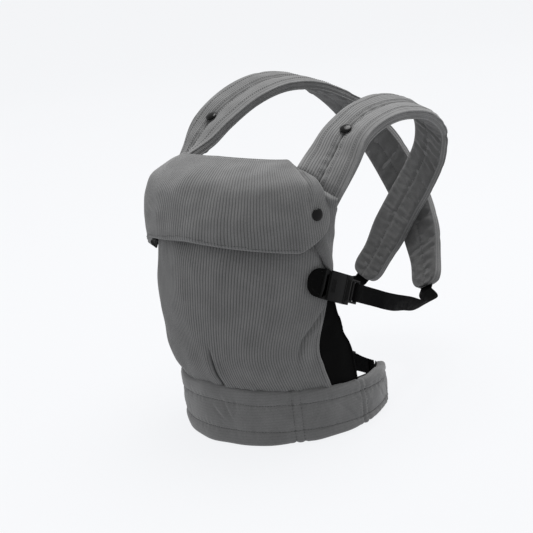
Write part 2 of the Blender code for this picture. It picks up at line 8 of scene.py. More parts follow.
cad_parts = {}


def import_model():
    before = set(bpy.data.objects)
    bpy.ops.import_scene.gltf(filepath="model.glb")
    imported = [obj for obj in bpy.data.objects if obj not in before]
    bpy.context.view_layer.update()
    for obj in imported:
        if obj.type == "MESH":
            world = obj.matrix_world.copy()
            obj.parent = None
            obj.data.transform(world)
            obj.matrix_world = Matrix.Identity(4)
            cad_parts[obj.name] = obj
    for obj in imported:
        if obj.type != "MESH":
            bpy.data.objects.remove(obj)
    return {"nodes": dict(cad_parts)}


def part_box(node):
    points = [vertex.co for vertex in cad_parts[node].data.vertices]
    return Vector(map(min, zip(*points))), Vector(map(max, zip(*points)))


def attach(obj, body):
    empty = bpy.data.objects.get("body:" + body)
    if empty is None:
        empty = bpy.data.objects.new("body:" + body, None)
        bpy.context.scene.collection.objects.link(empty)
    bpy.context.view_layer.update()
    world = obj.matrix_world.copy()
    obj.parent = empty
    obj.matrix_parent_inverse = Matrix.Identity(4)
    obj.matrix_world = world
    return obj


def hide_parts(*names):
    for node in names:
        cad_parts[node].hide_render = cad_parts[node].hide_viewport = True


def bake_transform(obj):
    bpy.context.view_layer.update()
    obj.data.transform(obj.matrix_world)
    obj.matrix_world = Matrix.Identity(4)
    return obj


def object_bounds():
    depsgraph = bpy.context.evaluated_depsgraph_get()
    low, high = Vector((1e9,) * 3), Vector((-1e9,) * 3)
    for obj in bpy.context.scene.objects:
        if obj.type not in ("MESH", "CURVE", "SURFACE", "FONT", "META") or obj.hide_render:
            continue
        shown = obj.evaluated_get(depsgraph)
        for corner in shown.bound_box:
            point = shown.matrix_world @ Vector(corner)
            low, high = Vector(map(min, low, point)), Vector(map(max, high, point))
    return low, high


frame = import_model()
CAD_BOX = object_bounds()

MM = 0.001
WALE = 3.7                      # width of one corduroy rib
WALE_DEPTH = 0.5
WALE_STEPS = 6                  # points across one rib
BAND_WALE_DEPTH = 0.08          # the waistband's ribs lie flat

BAND_RADIUS = 133.0
BAND_THICKNESS = 12.0
BAND_HEIGHTS = ((0.0, 84.0), (90.0, 62.0), (140.0, 46.0))
BAND_END = 138.5
BAND_TACKS = (48.0, 53.0, 90.5, 94.5)   # angles of the stitched breaks between the pads
BAND_UPPER_LINE = ((0, 24.0), (60, 18.0), (140, 13.0))   # angle, distance below the top edge
BAND_LOWER_LINE = ((0, 23.0), (60, 17.0), (95, 11.0), (140, 9.0))

PANEL_THICKNESS = 8.0
PANEL_ROWS = (
    (86.0, 0.0, 131.0, 131.0, 72.0, 17.0),
    (104.0, -10.0, 135.0, 132.0, 71.0, 9.0),
    (132.0, -22.0, 133.0, 125.0, 74.0, 3.0),
    (190.0, -30.0, 130.0, 116.0, 89.0, 0.0),
    (248.0, -32.0, 127.0, 102.0, 97.0, 0.0),
    (296.0, -33.0, 118.0, 76.0, 95.0, 3.0),
    (338.0, -34.0, 101.0, 38.0, 90.0, 6.0),
)
PANEL_WALES = 104
GUSSET_ROWS = ((0.0, 18.0), (1.5, 20.0), (2.2, 15.0), (2.9, 2.0))

FLAP_THICKNESS = 9.0
FLAP_ROWS = (
    (355.0, -27.0, 97.0, 42.0, 78.0, 7.0),
    (345.0, -33.0, 116.0, 62.0, 86.0, 8.0),
    (327.0, -40.0, 136.0, 77.0, 95.0, 3.0),
    (298.0, -40.0, 143.0, 92.0, 97.0, 4.0),
    (280.0, -40.0, 146.0, 98.0, 91.0, 12.0),
    (266.0, -40.0, 147.0, 101.0, 68.0, 19.0),
)
FLAP_DROOP = 20.0
FLAP_WALE_ANGLE = 1.8           # degrees between the flap's ribs

STRAP_WIDTH = 64.0
STRAP_END_WIDTH = 58.0
STRAP_TIP_TAPER = 0.2
STRAP_THICKNESS = 13.0
STRAP_LIFTS = {1: (0.0, 0.0, -7.0), -1: (-4.0, 0.0, 23.5)}
STRAP_ROLLS = {1: 0.0, -1: 31.0}
STRAP_LIFT_PLACES = {1: 0.38, -1: 0.355}
STRAP_CROSSING = 0.715
STRAP_CLEARANCE = 4.5
STRAP_SNAP = 0.165
STRAP_ROUTE = (
    ((124, -20, 322), (0.78, 0.33, -0.53)),
    ((121, 10, 342), (0.90, 0.18, -0.36)),
    ((118, 42, 365), (0.97, 0.06, -0.20)),
    ((112, 92, 380), (0.96, -0.02, -0.24)),
    ((102, 150, 382), (0.94, -0.10, -0.30)),
    ((91, 210, 368), (0.93, -0.20, -0.28)),
    ((74, 264, 334), (0.92, -0.32, -0.24)),
    ((50, 294, 286), (0.90, -0.30, -0.36)),
    ((25, 298, 243), (0.88, -0.24, -0.42)),
    ((0, 291, 205), (0.87, -0.20, -0.45)),
    ((-22, 278, 168), (0.86, -0.18, -0.46)),
    ((-41, 262, 132), (0.84, -0.16, -0.48)),
    ((-57, 241, 101), (0.84, -0.12, -0.50)),
)
STRAP_LENGTH = 640.0
STRAP_FOOT = 22.0               # how far a strap runs on below its visible start
FOOT_ROWS = 9
FOOT_BEND = 0.010
WING_INNER = ((113, -50, 305), (120, -51, 285), (124, -50, 262), (127.5, -42, 238),
              (131, -31, 210))
WING_OUTER = ((143, -18, 288), (137, -18, 272), (131, -17, 252), (131.5, -24, 232),
              (132.5, -29, 210))
STRAP_WALES = 9                 # ribs on each half of a strap's face

WEB_WIDTH = 22.0
WEB_THICKNESS = 1.6
BAR_BACK = 36.0
PLUG_BAR = 24.0
BUCKLE_HALF_WIDTH = 18.0
BUCKLE_HALF_THICKNESS = 5.5
SIDE_BUCKLE = ((136.4, -16.1, 185.6), (0.0, 0.89, -0.456), (1.0, 0.0, 0.0))
WAIST_BUCKLE = ((-14.0, 131.0, 20.0), (0.9877, -0.1564, 0.0), (0.1564, 0.9877, 0.0))
SIDE_TRAVEL = 22.0
WAIST_TRAVEL = 12.0
SIDE_WEBBING = ((131, 86, 135), (119, 122, 121), (106, 163, 104), (91, 207, 96))
TAB_LENGTH = 17.0
TAB_HALF_WIDTH = 17.0
TAB_BEND = 6.0

CENTRE_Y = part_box("waistband_front_cover")[0].y / MM + BAND_RADIUS


# ---- numbers and curves -------------------------------------------------------------------
def world(points):
    """Millimetres about the waistband's centre to metres in the shared frame."""
    return (np.asarray(points, float) + (0.0, CENTRE_Y, 0.0)) * MM


def unit(v):
    return v / np.maximum(np.linalg.norm(v, axis=-1, keepdims=True), 1e-9)


def spline(points, count):
    """Points spaced evenly by parameter on a smooth curve through the given ones."""
    points = np.asarray(points, float)
    ends = np.vstack((2 * points[0] - points[1], points, 2 * points[-1] - points[-2]))
    t = np.linspace(0, len(points) - 1, count)
    i = np.minimum(t.astype(int), len(points) - 2)
    f = (t - i)[:, None]
    a, b, c, d = (ends[i + k] for k in range(4))
    return 0.5 * (2 * b + (c - a) * f + (2 * a - 5 * b + 4 * c - d) * f ** 2
                  + (3 * b - a - 3 * c + d) * f ** 3)


def even(points, count):
    """The same polyline with its points spaced evenly by length."""
    length = np.concatenate(([0], np.cumsum(np.linalg.norm(np.diff(points, axis=0), axis=1))))
    at = np.linspace(0, length[-1], count)
    return np.stack([np.interp(at, length, points[:, k]) for k in range(points.shape[1])], 1)


def table_value(table, x):
    known = np.array(table, float)
    return np.interp(x, known[:, 0], known[:, 1])


def bump(x, width):
    return np.exp(-(x / width) ** 2)


def soften(x):
    """0 below 0, 1 above 1, smooth between."""
    x = np.clip(x, 0, 1)
    return x * x * (3 - 2 * x)


def ripple(x, y, size, seed):
    """Smooth random relief between about -1 and 1 whose waves are about size long."""
    total = 0.0
    rng = np.random.default_rng(seed)
    for turn, stretch, phase in rng.uniform(0, 1, (6, 3)):
        a = 2 * math.pi * turn
        k = 2 * math.pi / (size * (0.7 + 0.8 * stretch))
        total = total + np.sin(k * (x * math.cos(a) + y * math.sin(a)) + 2 * math.pi * phase)
    return total / 3


def wale(phase):
    """Height of a corduroy rib, 0 in the furrow and 1 on the crown."""
    return 1 - np.abs(2 * (phase % 1.0) - 1) ** 2.6


def normals(grid, facing):
    """Unit normals of a grid of points, turned towards a direction at its middle."""
    normal = unit(np.cross(np.gradient(grid, axis=0), np.gradient(grid, axis=1)))
    middle = normal[grid.shape[0] // 2, grid.shape[1] // 2]
    return normal if np.dot(middle, facing) > 0 else -normal


# ---- meshes -------------------------------------------------------------------------------
def grid_faces(index):
    a, b, c, d = index[:-1, :-1], index[1:, :-1], index[1:, 1:], index[:-1, 1:]
    return np.stack((a, b, c, d), -1).reshape(-1, 4).tolist()


def add_object(name, points, faces, uv=None, look=None, sharp=None):
    """New mesh object from points in millimetres, with outward faces and its UVs in metres."""
    mesh = bpy.data.meshes.new(name)
    mesh.from_pydata(world(points).tolist(), [], faces)
    bm = bmesh.new()
    bm.from_mesh(mesh)
    bmesh.ops.recalc_face_normals(bm, faces=bm.faces)
    bm.to_mesh(mesh)
    bm.free()
    if uv is not None:
        layer = mesh.uv_layers.new(name="UVMap")
        corner = np.zeros(len(mesh.loops), int)
        mesh.loops.foreach_get("vertex_index", corner)
        layer.data.foreach_set("uv", (np.asarray(uv, float)[corner] * MM).ravel())
    mesh.shade_smooth()
    if sharp:
        mesh.set_sharp_from_angle(angle=math.radians(sharp))
    obj = bpy.data.objects.new(name, mesh)
    bpy.context.scene.collection.objects.link(obj)
    if look:
        mesh.materials.append(look)
    return obj


def pad_object(name, outer, back, uv, look, step=1):
    """Closed pad between a fine outer grid and a back grid that has every step-th column."""
    rows, cols = outer.shape[:2]
    back_cols = back.shape[1]
    top = np.arange(rows * cols).reshape(rows, cols)
    low = rows * cols + np.arange(rows * back_cols).reshape(rows, back_cols)
    faces = grid_faces(top) + grid_faces(low[:, ::-1])
    for i in range(rows - 1):
        faces.append([int(v) for v in (top[i, 0], top[i + 1, 0], low[i + 1, 0], low[i, 0])])
        faces.append([int(v) for v in (top[i, -1], top[i + 1, -1], low[i + 1, -1], low[i, -1])])
    for row in (0, -1):
        for m in range(back_cols - 1):
            chain = top[row, m * step:(m + 1) * step + 1].tolist()
            faces.append(chain + [int(low[row, m + 1]), int(low[row, m])])
    points = np.vstack((outer.reshape(-1, 3), back.reshape(-1, 3)))
    uv = np.vstack((uv.reshape(-1, 2), uv[:, ::step].reshape(-1, 2)))
    return add_object(name, points, faces, uv, look)


def ring_object(name, rings, uv, look):
    """Closed solid from closed sections, one ring of points after another, with round caps."""
    count, size = rings.shape[:2]
    index = np.arange(count * size).reshape(count, size)
    faces = grid_faces(np.hstack((index, index[:, :1])))
    middles = [rings[0].mean(0), rings[-1].mean(0)]
    for tip, row in ((count * size, index[0]), (count * size + 1, index[-1])):
        faces += [[tip, int(row[k]), int(row[(k + 1) % size])] for k in range(size)]
    points = np.vstack((rings.reshape(-1, 3), middles))
    flat = uv.reshape(-1, 2)
    uv = np.vstack((flat, uv[0].mean(0), uv[-1].mean(0)))
    return add_object(name, points, faces, uv, look)


def tube_object(name, lines, radius, look, sides=8):
    """Round tubes along lines of points, all in one object."""
    points, faces, uvs = [], [], []
    for line in lines:
        along = unit(np.gradient(line, axis=0))
        start = unit(np.cross(along[0], (0.3, 0.2, 1.0)))
        across = [start]
        for direction in along[1:]:
            last = across[-1]
            across.append(unit(last - direction * np.dot(last, direction)))
        across = np.array(across)
        other = np.cross(along, across)
        turn = np.linspace(0, 2 * math.pi, sides, endpoint=False)
        rings = (line[:, None] + radius * (across[:, None] * np.cos(turn)[None, :, None]
                                           + other[:, None] * np.sin(turn)[None, :, None]))
        base = sum(len(p) for p in points)
        index = base + np.arange(len(line) * sides).reshape(-1, sides)
        faces += grid_faces(np.hstack((index, index[:, :1])))
        faces += [index[0].tolist(), index[-1].tolist()]
        length = np.concatenate(([0], np.cumsum(np.linalg.norm(np.diff(line, axis=0), axis=1))))
        uv = np.stack(np.broadcast_arrays(turn[None] * radius, length[:, None]), -1)
        points.append(rings.reshape(-1, 3))
        uvs.append(uv.reshape(-1, 2))
    return add_object(name, np.vstack(points), faces, np.vstack(uvs), look)


def stitch_object(name, lines, look, pitch=3.6, length=2.5, radius=0.28):
    """Rows of single stitches: short threads that dip into the cloth at both ends."""
    section = 5
    turn = np.linspace(0, 2 * math.pi, section, endpoint=False)
    bow = ((-0.5, -0.6, 0.4), (-0.3, 0.25, 1.0), (0.0, 0.45, 1.1), (0.3, 0.25, 1.0),
           (0.5, -0.6, 0.4))
    points, faces = [], []
    for line, out in lines:
        steps = np.linalg.norm(np.diff(line, axis=0), axis=1)
        count = max(2, int(steps.sum() / pitch))
        both = even(np.hstack((line, out)), count)
        centres, outs = both[:, :3], unit(both[:, 3:])
        along = unit(np.gradient(centres, axis=0))
        side = unit(np.cross(along, outs))
        for c, a, n, s in zip(centres[:-1], along, outs, side):
            base = len(points)
            for shift, rise, thick in bow:
                middle = c + a * shift * length + n * rise * radius * 1.6
                points += [middle + thick * radius * (s * math.cos(t) + n * math.sin(t))
                           for t in turn]
            index = base + np.arange(len(bow) * section).reshape(-1, section)
            faces += grid_faces(np.hstack((index, index[:, :1])))
            faces += [index[0].tolist(), index[-1].tolist()]
    return add_object(name, np.array(points), faces, None, look)


# ---- materials ----------------------------------------------------------------------------
class Nodes:
    """Small helper that adds shader nodes and links them."""

    def __init__(self, name, roughness, sheen=0.0, specular=0.5):
        self.material = bpy.data.materials.new(name)
        self.material.use_nodes = True
        self.tree = self.material.node_tree
        self.shader = self.tree.nodes["Principled BSDF"]
        self.shader.inputs["Roughness"].default_value = roughness
        self.shader.inputs["Specular IOR Level"].default_value = specular
        self.shader.inputs["Sheen Weight"].default_value = sheen
        self.shader.inputs["Sheen Roughness"].default_value = 0.5

    def put(self, socket, value):
        if isinstance(value, bpy.types.NodeSocket):
            self.tree.links.new(value, socket)
        else:
            socket.default_value = value

    def node(self, kind, inputs=(), **settings):
        node = self.tree.nodes.new(kind)
        for key, value in settings.items():
            setattr(node, key, value)
        for key, value in dict(inputs).items():
            self.put(node.inputs[key], value)
        return node

    def math(self, operation, a, b=0.0, c=0.0):
        node = self.node("ShaderNodeMath", {0: a, 1: b, 2: c}, operation=operation)
        return node.outputs[0]

    def noise(self, vector, scale, detail=3.0, rough=0.55):
        node = self.node("ShaderNodeTexNoise", {"Vector": vector, "Scale": scale,
                                                "Detail": detail, "Roughness": rough})
        return node.outputs["Fac"]

    def remap(self, value, low, high, new_low, new_high):
        node = self.node("ShaderNodeMapRange", {"Value": value, "From Min": low, "From Max": high,
                                                "To Min": new_low, "To Max": new_high})
        return node.outputs[0]

    def mix(self, factor, a, b, blend="MIX"):
        node = self.node("ShaderNodeMix", data_type="RGBA", blend_type=blend)
        colours = [s for s in node.inputs if s.type == "RGBA"]
        self.put(node.inputs[0], factor)
        self.put(colours[0], a)
        self.put(colours[1], b)
        return [s for s in node.outputs if s.type == "RGBA"][0]

    def scaled(self, vector, scale):
        node = self.node("ShaderNodeVectorMath", {0: vector, 1: scale}, operation="MULTIPLY")
        return node.outputs[0]

    def bump(self, height, strength, distance, under=None):
        node = self.node("ShaderNodeBump", {"Height": height, "Strength": strength,
                                            "Distance": distance})
        if under is not None:
            self.put(node.inputs["Normal"], under)
        return node.outputs[0]

    def finish(self, colour, normal, roughness=None):
        self.put(self.shader.inputs["Base Color"], colour)
        self.put(self.shader.inputs["Normal"], normal)
        if roughness is not None:
            self.put(self.shader.inputs["Roughness"], roughness)
        return self.material


def grey(value, tint=0.0):
    """A grey of one brightness, bluer for a higher tint."""
    return (value * (1 - 0.6 * tint), value * (1 - 0.2 * tint), value * (1 + tint), 1.0)


def corduroy(name, brightness, furrow_painted_shade=0.22, furrow_depth=0.35):
    """Ribbed cotton velvet: bright napped crowns, painted shade darkening the furrows, short fibres
    along the ribs.
    """
    n = Nodes(name, 0.92, sheen=0.22, specular=0.15)
    coords = n.node("ShaderNodeTexCoord")
    uv, place = coords.outputs["UV"], coords.outputs["Object"]
    split = n.node("ShaderNodeSeparateXYZ", {0: uv}).outputs
    wobble = n.math("MULTIPLY", n.noise(place, 60.0, 1.0), 0.00035)
    phase = n.math("FRACT", n.math("DIVIDE", n.math("ADD", split["X"], wobble), WALE * MM))
    edge = n.math("ABSOLUTE", n.math("MULTIPLY_ADD", phase, 2.0, -1.0))
    furrow = n.math("POWER", edge, 5.0)
    nap = n.noise(n.scaled(uv, (2600.0, 420.0, 1.0)), 1.0, 4.0, 0.65)
    fibre = n.noise(place, 2400.0, 2.0, 0.6)
    cloud = n.noise(place, 38.0, 3.0)
    rows = n.math("SINE", n.math("MULTIPLY", split["Y"], 2 * math.pi / 0.0011))
    light = n.math("MULTIPLY", n.remap(nap, 0.3, 0.7, 0.74, 1.24),
                   n.remap(cloud, 0.3, 0.7, 0.90, 1.10))
    light = n.math("MULTIPLY", light, n.remap(fibre, 0.25, 0.75, 0.84, 1.16))
    # painted shade: the colour darkens towards each furrow between the ribs, down to
    # furrow_painted_shade times the crown's grey
    base = n.mix(furrow, grey(brightness), grey(brightness * furrow_painted_shade))
    tone = n.node("ShaderNodeCombineColor", {0: light, 1: light, 2: light}).outputs[0]
    colour = n.mix(1.0, base, tone, "MULTIPLY")
    fine = n.math("ADD", n.math("MULTIPLY", nap, 0.8), n.math("MULTIPLY", rows, 0.07))
    fine = n.math("ADD", fine, n.math("MULTIPLY", fibre, 0.35))
    normal = n.bump(n.math("MULTIPLY", furrow, -1.0), furrow_depth, 0.0004)
    normal = n.bump(fine, 0.4, 0.0004, normal)
    return n.finish(colour, normal)


def plain_cloth(name, brightness, thread=0.00055, sheen=0.12, specular=0.25):
    """Flat woven cotton: threads over and under, with slubs and soft blotches."""
    n = Nodes(name, 0.88, sheen=sheen, specular=specular)
    coords = n.node("ShaderNodeTexCoord")
    uv, place = coords.outputs["UV"], coords.outputs["Object"]
    split = n.node("ShaderNodeSeparateXYZ", {0: uv}).outputs
    wave = [n.math("SINE", n.math("MULTIPLY", split[axis], math.pi / thread)) for axis in "XY"]
    weave = n.math("MULTIPLY", wave[0], wave[1])
    slub = n.noise(n.scaled(uv, (300.0, 2600.0, 1.0)), 1.0, 3.0)
    cloud = n.noise(place, 45.0, 3.0)
    light = n.math("MULTIPLY", n.remap(weave, -1.0, 1.0, 0.8, 1.15),
                   n.remap(slub, 0.3, 0.7, 0.85, 1.15))
    light = n.math("MULTIPLY", light, n.remap(cloud, 0.3, 0.7, 0.9, 1.1))
    tone = n.node("ShaderNodeCombineColor", {0: light, 1: light, 2: light}).outputs[0]
    colour = n.mix(1.0, grey(brightness), tone, "MULTIPLY")
    creases = n.bump(n.noise(place, 160.0, 2.0), 0.25, 0.0012)
    return n.finish(colour, n.bump(n.math("ADD", weave, slub), 0.5, 0.00012, creases))


def webbing_cloth(name, brightness):
    """Woven strap: herringbone of thick yarns, with a plain selvedge on both edges."""
    n = Nodes(name, 0.8, sheen=0.0, specular=0.012)
    coords = n.node("ShaderNodeTexCoord")
    uv, place = coords.outputs["UV"], coords.outputs["Object"]
    split = n.node("ShaderNodeSeparateXYZ", {0: uv}).outputs
    zigzag = n.math("PINGPONG", n.math("ADD", split["X"], 10.0), 0.0044)
    slanted = n.math("ADD", split["Y"], zigzag)
    yarn = n.math("SINE", n.math("MULTIPLY", slanted, 2 * math.pi / 0.0017))
    cords = n.math("SINE", n.math("MULTIPLY", split["X"], 2 * math.pi / 0.0011))
    relief = n.math("ADD", yarn, n.math("MULTIPLY", cords, 0.6))
    fibre = n.noise(n.scaled(uv, (3000.0, 1200.0, 1.0)), 1.0, 3.0)
    light = n.math("MULTIPLY", n.remap(relief, -1.5, 1.5, 0.55, 1.45),
                   n.remap(fibre, 0.3, 0.7, 0.8, 1.25))
    tone = n.node("ShaderNodeCombineColor", {0: light, 1: light, 2: light}).outputs[0]
    colour = n.mix(1.0, grey(brightness, 0.03), tone, "MULTIPLY")
    worn = n.remap(n.noise(place, 90.0, 2.0), 0.3, 0.7, 0.52, 0.72)
    return n.finish(colour, n.bump(relief, 0.6, 0.0002), worn)


def moulded(name, brightness, roughness, grain=1500.0, specular=0.07):
    """Moulded plastic: spark-eroded grain, with faint handling marks in its gloss."""
    n = Nodes(name, roughness, specular=specular)
    place = n.node("ShaderNodeTexCoord").outputs["Object"]
    pits = n.noise(place, grain, 2.0, 0.5)
    marks = n.noise(n.scaled(place, (1.0, 1.0, 3.0)), 120.0, 4.0, 0.7)
    colour = n.mix(n.remap(pits, 0.35, 0.65, 0.0, 1.0), grey(brightness * 0.8),
                   grey(brightness * 1.3))
    gloss = n.remap(marks, 0.3, 0.7, roughness - 0.07, roughness + 0.12)
    return n.finish(colour, n.bump(pits, 0.25, 0.0001), gloss)


def thread_cloth(name, brightness):
    """Sewing thread, twisted."""
    n = Nodes(name, 0.6, sheen=0.05, specular=0.15)
    place = n.node("ShaderNodeTexCoord").outputs["Object"]
    twist = n.noise(place, 3500.0, 2.0)
    colour = n.mix(twist, grey(brightness * 0.6), grey(brightness * 1.5))
    return n.finish(colour, n.bump(twist, 0.5, 0.0001))


LOOKS = {
    # painted shade in the corduroy's furrows: strong on the covers (default 0.22 of the crown),
    # weak on the waistband (0.86)
    "corduroy": corduroy("corduroy", 0.118),
    "corduroy_band": corduroy("corduroy_band", 0.104, 0.86, 0.06),
    "lining": plain_cloth("lining", 0.085),
    "black_cloth": plain_cloth("black_cloth", 0.003, 0.0007, 0.0, 0.03),
    "webbing": webbing_cloth("webbing", 0.0035),
    "plastic": moulded("plastic", 0.004, 0.34),
    "snap": moulded("snap", 0.002, 0.14, 900.0, 0.14),
    "thread": thread_cloth("thread", 0.035),
    "piping": plain_cloth("piping", 0.055),
    "black_thread": thread_cloth("black_thread", 0.006),
}


def settle(obj, body="carrier", replaces=()):
    """Put a finished piece on its body and the nodes it stands for."""
    if body:
        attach(obj, body)
    if replaces:
        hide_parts(*replaces)
    return obj


# ---- waistband ----------------------------------------------------------------------------
def band_chain(height, points):
    """Section from the inner bottom edge round the outside to the inner top: (r, z), outward."""
    corner = 5.5
    inner = BAND_RADIUS - BAND_THICKNESS + 1.8
    turn = np.linspace(0, math.pi / 2, 9)
    low = np.stack((BAND_RADIUS - corner + corner * np.sin(turn),
                    corner - corner * np.cos(turn)), 1)
    z = np.linspace(corner, height - corner, points)[1:-1]
    face = np.stack((np.full_like(z, BAND_RADIUS), z), 1)
    top = np.stack((low[::-1, 0], height - low[::-1, 1]), 1)
    chain = np.vstack(((inner, 0.0), low, face, top, (inner, height)))
    slope = unit(np.gradient(chain, axis=0))
    return chain, np.stack((slope[:, 1], -slope[:, 0]), 1)


def band_wrinkles():
    """Short slanting wrinkles: angle, height share, lean, half length, depth."""
    rng = np.random.default_rng(11)
    found = [(11.0, 0.60, -0.45, 15.0, 1.6), (5.0, 0.52, -0.75, 12.0, 1.2),
             (16.0, 0.70, 0.2, 9.0, 0.9)]
    for angle in np.arange(-128, 130, 9.5):
        found.append((angle + rng.uniform(-4, 4), rng.uniform(0.25, 0.85),
                      rng.uniform(-0.8, 0.8), rng.uniform(7, 14), rng.uniform(0.4, 1.1)))
    return found


def build_waistband():
    face_points = 138
    angles = np.linspace(-BAND_END, BAND_END, 301)
    wrinkles = band_wrinkles()
    rings, uvs = [], []
    lines = {"upper": [], "lower": []}
    for angle in angles:
        height = table_value(BAND_HEIGHTS, abs(angle))
        chain, out = band_chain(height, face_points)
        arc = math.radians(angle) * BAND_RADIUS
        z = chain[:, 1]
        upper = height - table_value(BAND_UPPER_LINE, abs(angle))
        lower = table_value(BAND_LOWER_LINE, abs(angle))
        edges = np.array((0.0, lower, upper, height))
        channel = np.clip(np.searchsorted(edges, z, side="right") - 1, 0, 2)
        share = (z - edges[channel]) / (edges[channel + 1] - edges[channel])
        puff = 2.6 * np.clip(np.sin(math.pi * np.clip(share, 0, 1)), 0, 1) ** 0.55 - 1.2
        nearest = np.minimum(np.abs(z - upper), np.abs(z - lower))
        pucker = 0.45 * bump(nearest - 3.0, 4.0) * ripple(arc, z * 0.25, 9.0, 3)
        relief = puff + pucker + 0.8 * ripple(arc, z, 55.0, 5)
        relief += BAND_WALE_DEPTH * wale(z / WALE) * (nearest > 0.9) - 0.25
        for tack in BAND_TACKS:
            away = arc - math.copysign(math.radians(tack) * BAND_RADIUS, angle)
            relief -= 1.6 * bump(away, 1.7)
            relief += 0.5 * bump(np.abs(away) - 6, 4) * ripple(arc * 0.3, z, 10.0, 8)
        for place, level, lean, reach, depth in wrinkles:
            dx, dz = arc - math.radians(place) * BAND_RADIUS, z - level * height
            run = dx * lean + dz * math.sqrt(1 - lean * lean)
            side = dx * math.sqrt(1 - lean * lean) - dz * lean
            relief -= depth * bump(run, reach) * (bump(side, 2.2) - 0.5 * bump(side - 4.5, 2.5))
        end = soften((BAND_END - abs(angle)) * math.radians(1) * BAND_RADIUS / 6.0)
        chain = chain + out * relief[:, None] * end
        middle = np.array((BAND_RADIUS - BAND_THICKNESS / 2, height / 2))
        chain = middle + (chain - middle) * (0.55 + 0.45 * end, 0.9 + 0.1 * end)
        a = math.radians(angle)
        rings.append(np.stack((chain[:, 0] * math.sin(a), -chain[:, 0] * math.cos(a),
                               chain[:, 1]), 1))
        uvs.append(np.stack((z, np.full_like(z, arc)), 1))
        for name, level in (("upper", upper), ("lower", lower)):
            k = int(np.argmin(np.abs(z[8:-8] - level))) + 8
            lines[name].append((rings[-1][k], (math.sin(a), -math.cos(a), 0.0)))
    rings = np.array(rings)
    band = ring_object("waistband", rings, np.array(uvs), LOOKS["corduroy_band"])
    parts = ("front", "side_left", "side_right", "end_left", "end_right")
    nodes = [f"waistband_{part}_{kind}" for part in parts for kind in ("cover", "foam")]
    settle(band, replaces=nodes)
    seams = [tuple(np.array(pair, float) for pair in zip(*line)) for line in lines.values()]
    for tack in BAND_TACKS:
        for side in (-1, 1):
            column = int(np.argmin(np.abs(angles - side * tack)))
            a = math.radians(angles[column])
            line = rings[column][12:-12:6]
            seams.append((line, np.tile((math.sin(a), -math.cos(a), 0.0), (len(line), 1))))
    settle(stitch_object("waistband_stitching", seams, LOOKS["thread"]))
    build_band_lining()


def build_band_lining():
    """Black inner face, slightly gathered where the quilting pulls it."""
    angles = np.linspace(-BAND_END + 0.6, BAND_END - 0.6, 220)
    share = np.linspace(0, 1, 34)
    arc = np.radians(angles)[:, None] * BAND_RADIUS
    height = table_value(BAND_HEIGHTS, np.abs(angles))[:, None]
    z = 0.8 + (height - 1.6) * share[None]
    upper = height - table_value(BAND_UPPER_LINE, np.abs(angles))[:, None]
    lower = table_value(BAND_LOWER_LINE, np.abs(angles))[:, None]
    nearest = np.minimum(np.abs(z - upper), np.abs(z - lower))
    edge = np.minimum(z, height - z)
    depth = 1.3 * (1 - bump(nearest, 3.5)) * soften(edge / 5) + 0.5 * ripple(arc, z, 14.0, 21)
    radius = BAND_RADIUS - BAND_THICKNESS + 1.2 - depth * soften(edge / 3)
    a = np.radians(angles)[:, None]
    inner = np.stack((radius * np.sin(a), -radius * np.cos(a), z), -1)
    back_radius = np.full_like(z, BAND_RADIUS - BAND_THICKNESS + 1.7)
    outer = np.stack((back_radius * np.sin(a), -back_radius * np.cos(a), z), -1)
    uv = np.stack(np.broadcast_arrays(z, arc), -1)
    lining = pad_object("waistband_inner_face", inner, outer, uv, LOOKS["black_cloth"])
    settle(lining, replaces=["waistband_lining"])


# ---- front panel --------------------------------------------------------------------------
def oval_grid(rows, count_up, count_round):
    """Points, rows upwards and columns from the -X end to the +X end, and both shares."""
    row = spline(rows, count_up)
    share = np.linspace(-1, 1, count_round)[None]
    angle = np.radians(row[:, 4:5] * share)
    x = row[:, 2:3] * np.sin(angle)
    y = row[:, 1:2] - row[:, 3:4] * np.cos(angle)
    z = row[:, 0:1] - row[:, 5:6] * np.abs(share) ** 1.3
    level = np.linspace(0, 1, count_up)[:, None]
    return np.stack((x, y, z), -1), np.broadcast_to(share, x.shape), np.broadcast_to(level, x.shape)


def arc_lengths(grid):
    """Distance of each point from the middle column, along its row."""
    steps = np.linalg.norm(np.diff(grid, axis=1), axis=2)
    length = np.concatenate((np.zeros((len(grid), 1)), np.cumsum(steps, axis=1)), axis=1)
    return length - length[:, grid.shape[1] // 2][:, None]


def heights_along(grid):
    """Distance of each point from the first row, along its column."""
    steps = np.linalg.norm(np.diff(grid, axis=0), axis=2)
    return np.concatenate((np.zeros((1, grid.shape[1])), np.cumsum(steps, axis=0)), axis=0)


def panel_relief(across, arc, level, up):
    """Darts, creases and gathers of the front panel, outwards in millimetres."""
    half = arc[:, -1:]
    relief = 1.3 * ripple(arc, up, 85.0, 31) + 0.5 * ripple(arc, up, 30.0, 32)
    away = (across - 0.144 + 0.12 * np.clip(level - 0.14, 0, 1) ** 1.5) * half
    reach = soften((0.37 - level) / 0.09)
    relief -= reach * 5.5 * bump(away, 1.9)
    relief += reach * 1.7 * (bump(away - 8, 6) + 0.6 * bump(away + 8, 6))
    away = (across - 0.20 - 0.03 * level) * half
    relief -= 1.0 * bump((level - 0.24) * 240, 34) * bump(away, 3.2)
    for side in (-1, 1):
        place = side * np.interp(level, (0.2, 0.27, 0.36, 0.44), (0.80, 0.82, 0.85, 0.98))
        away = (across - place) * half
        relief -= 4.2 * bump((level - 0.34) * 240, 30) * bump(away, 3.4)
        relief += 1.6 * bump((level - 0.34) * 240, 30) * bump(away - side * 9, 6.0)
        place = side * (0.817 + (0.662 - level) * 1.55)
        away = (across - place) * half * 0.6
        relief -= 1.8 * soften((level - 0.54) / 0.03) * bump(away, 1.6)
        relief += 0.9 * soften((level - 0.54) / 0.03) * bump(away + side * 4, 3.5)
    gather = bump(up, 9.0) * (0.9 * ripple(arc, up * 0.2, 15.0, 33) - 0.9)
    return relief + gather


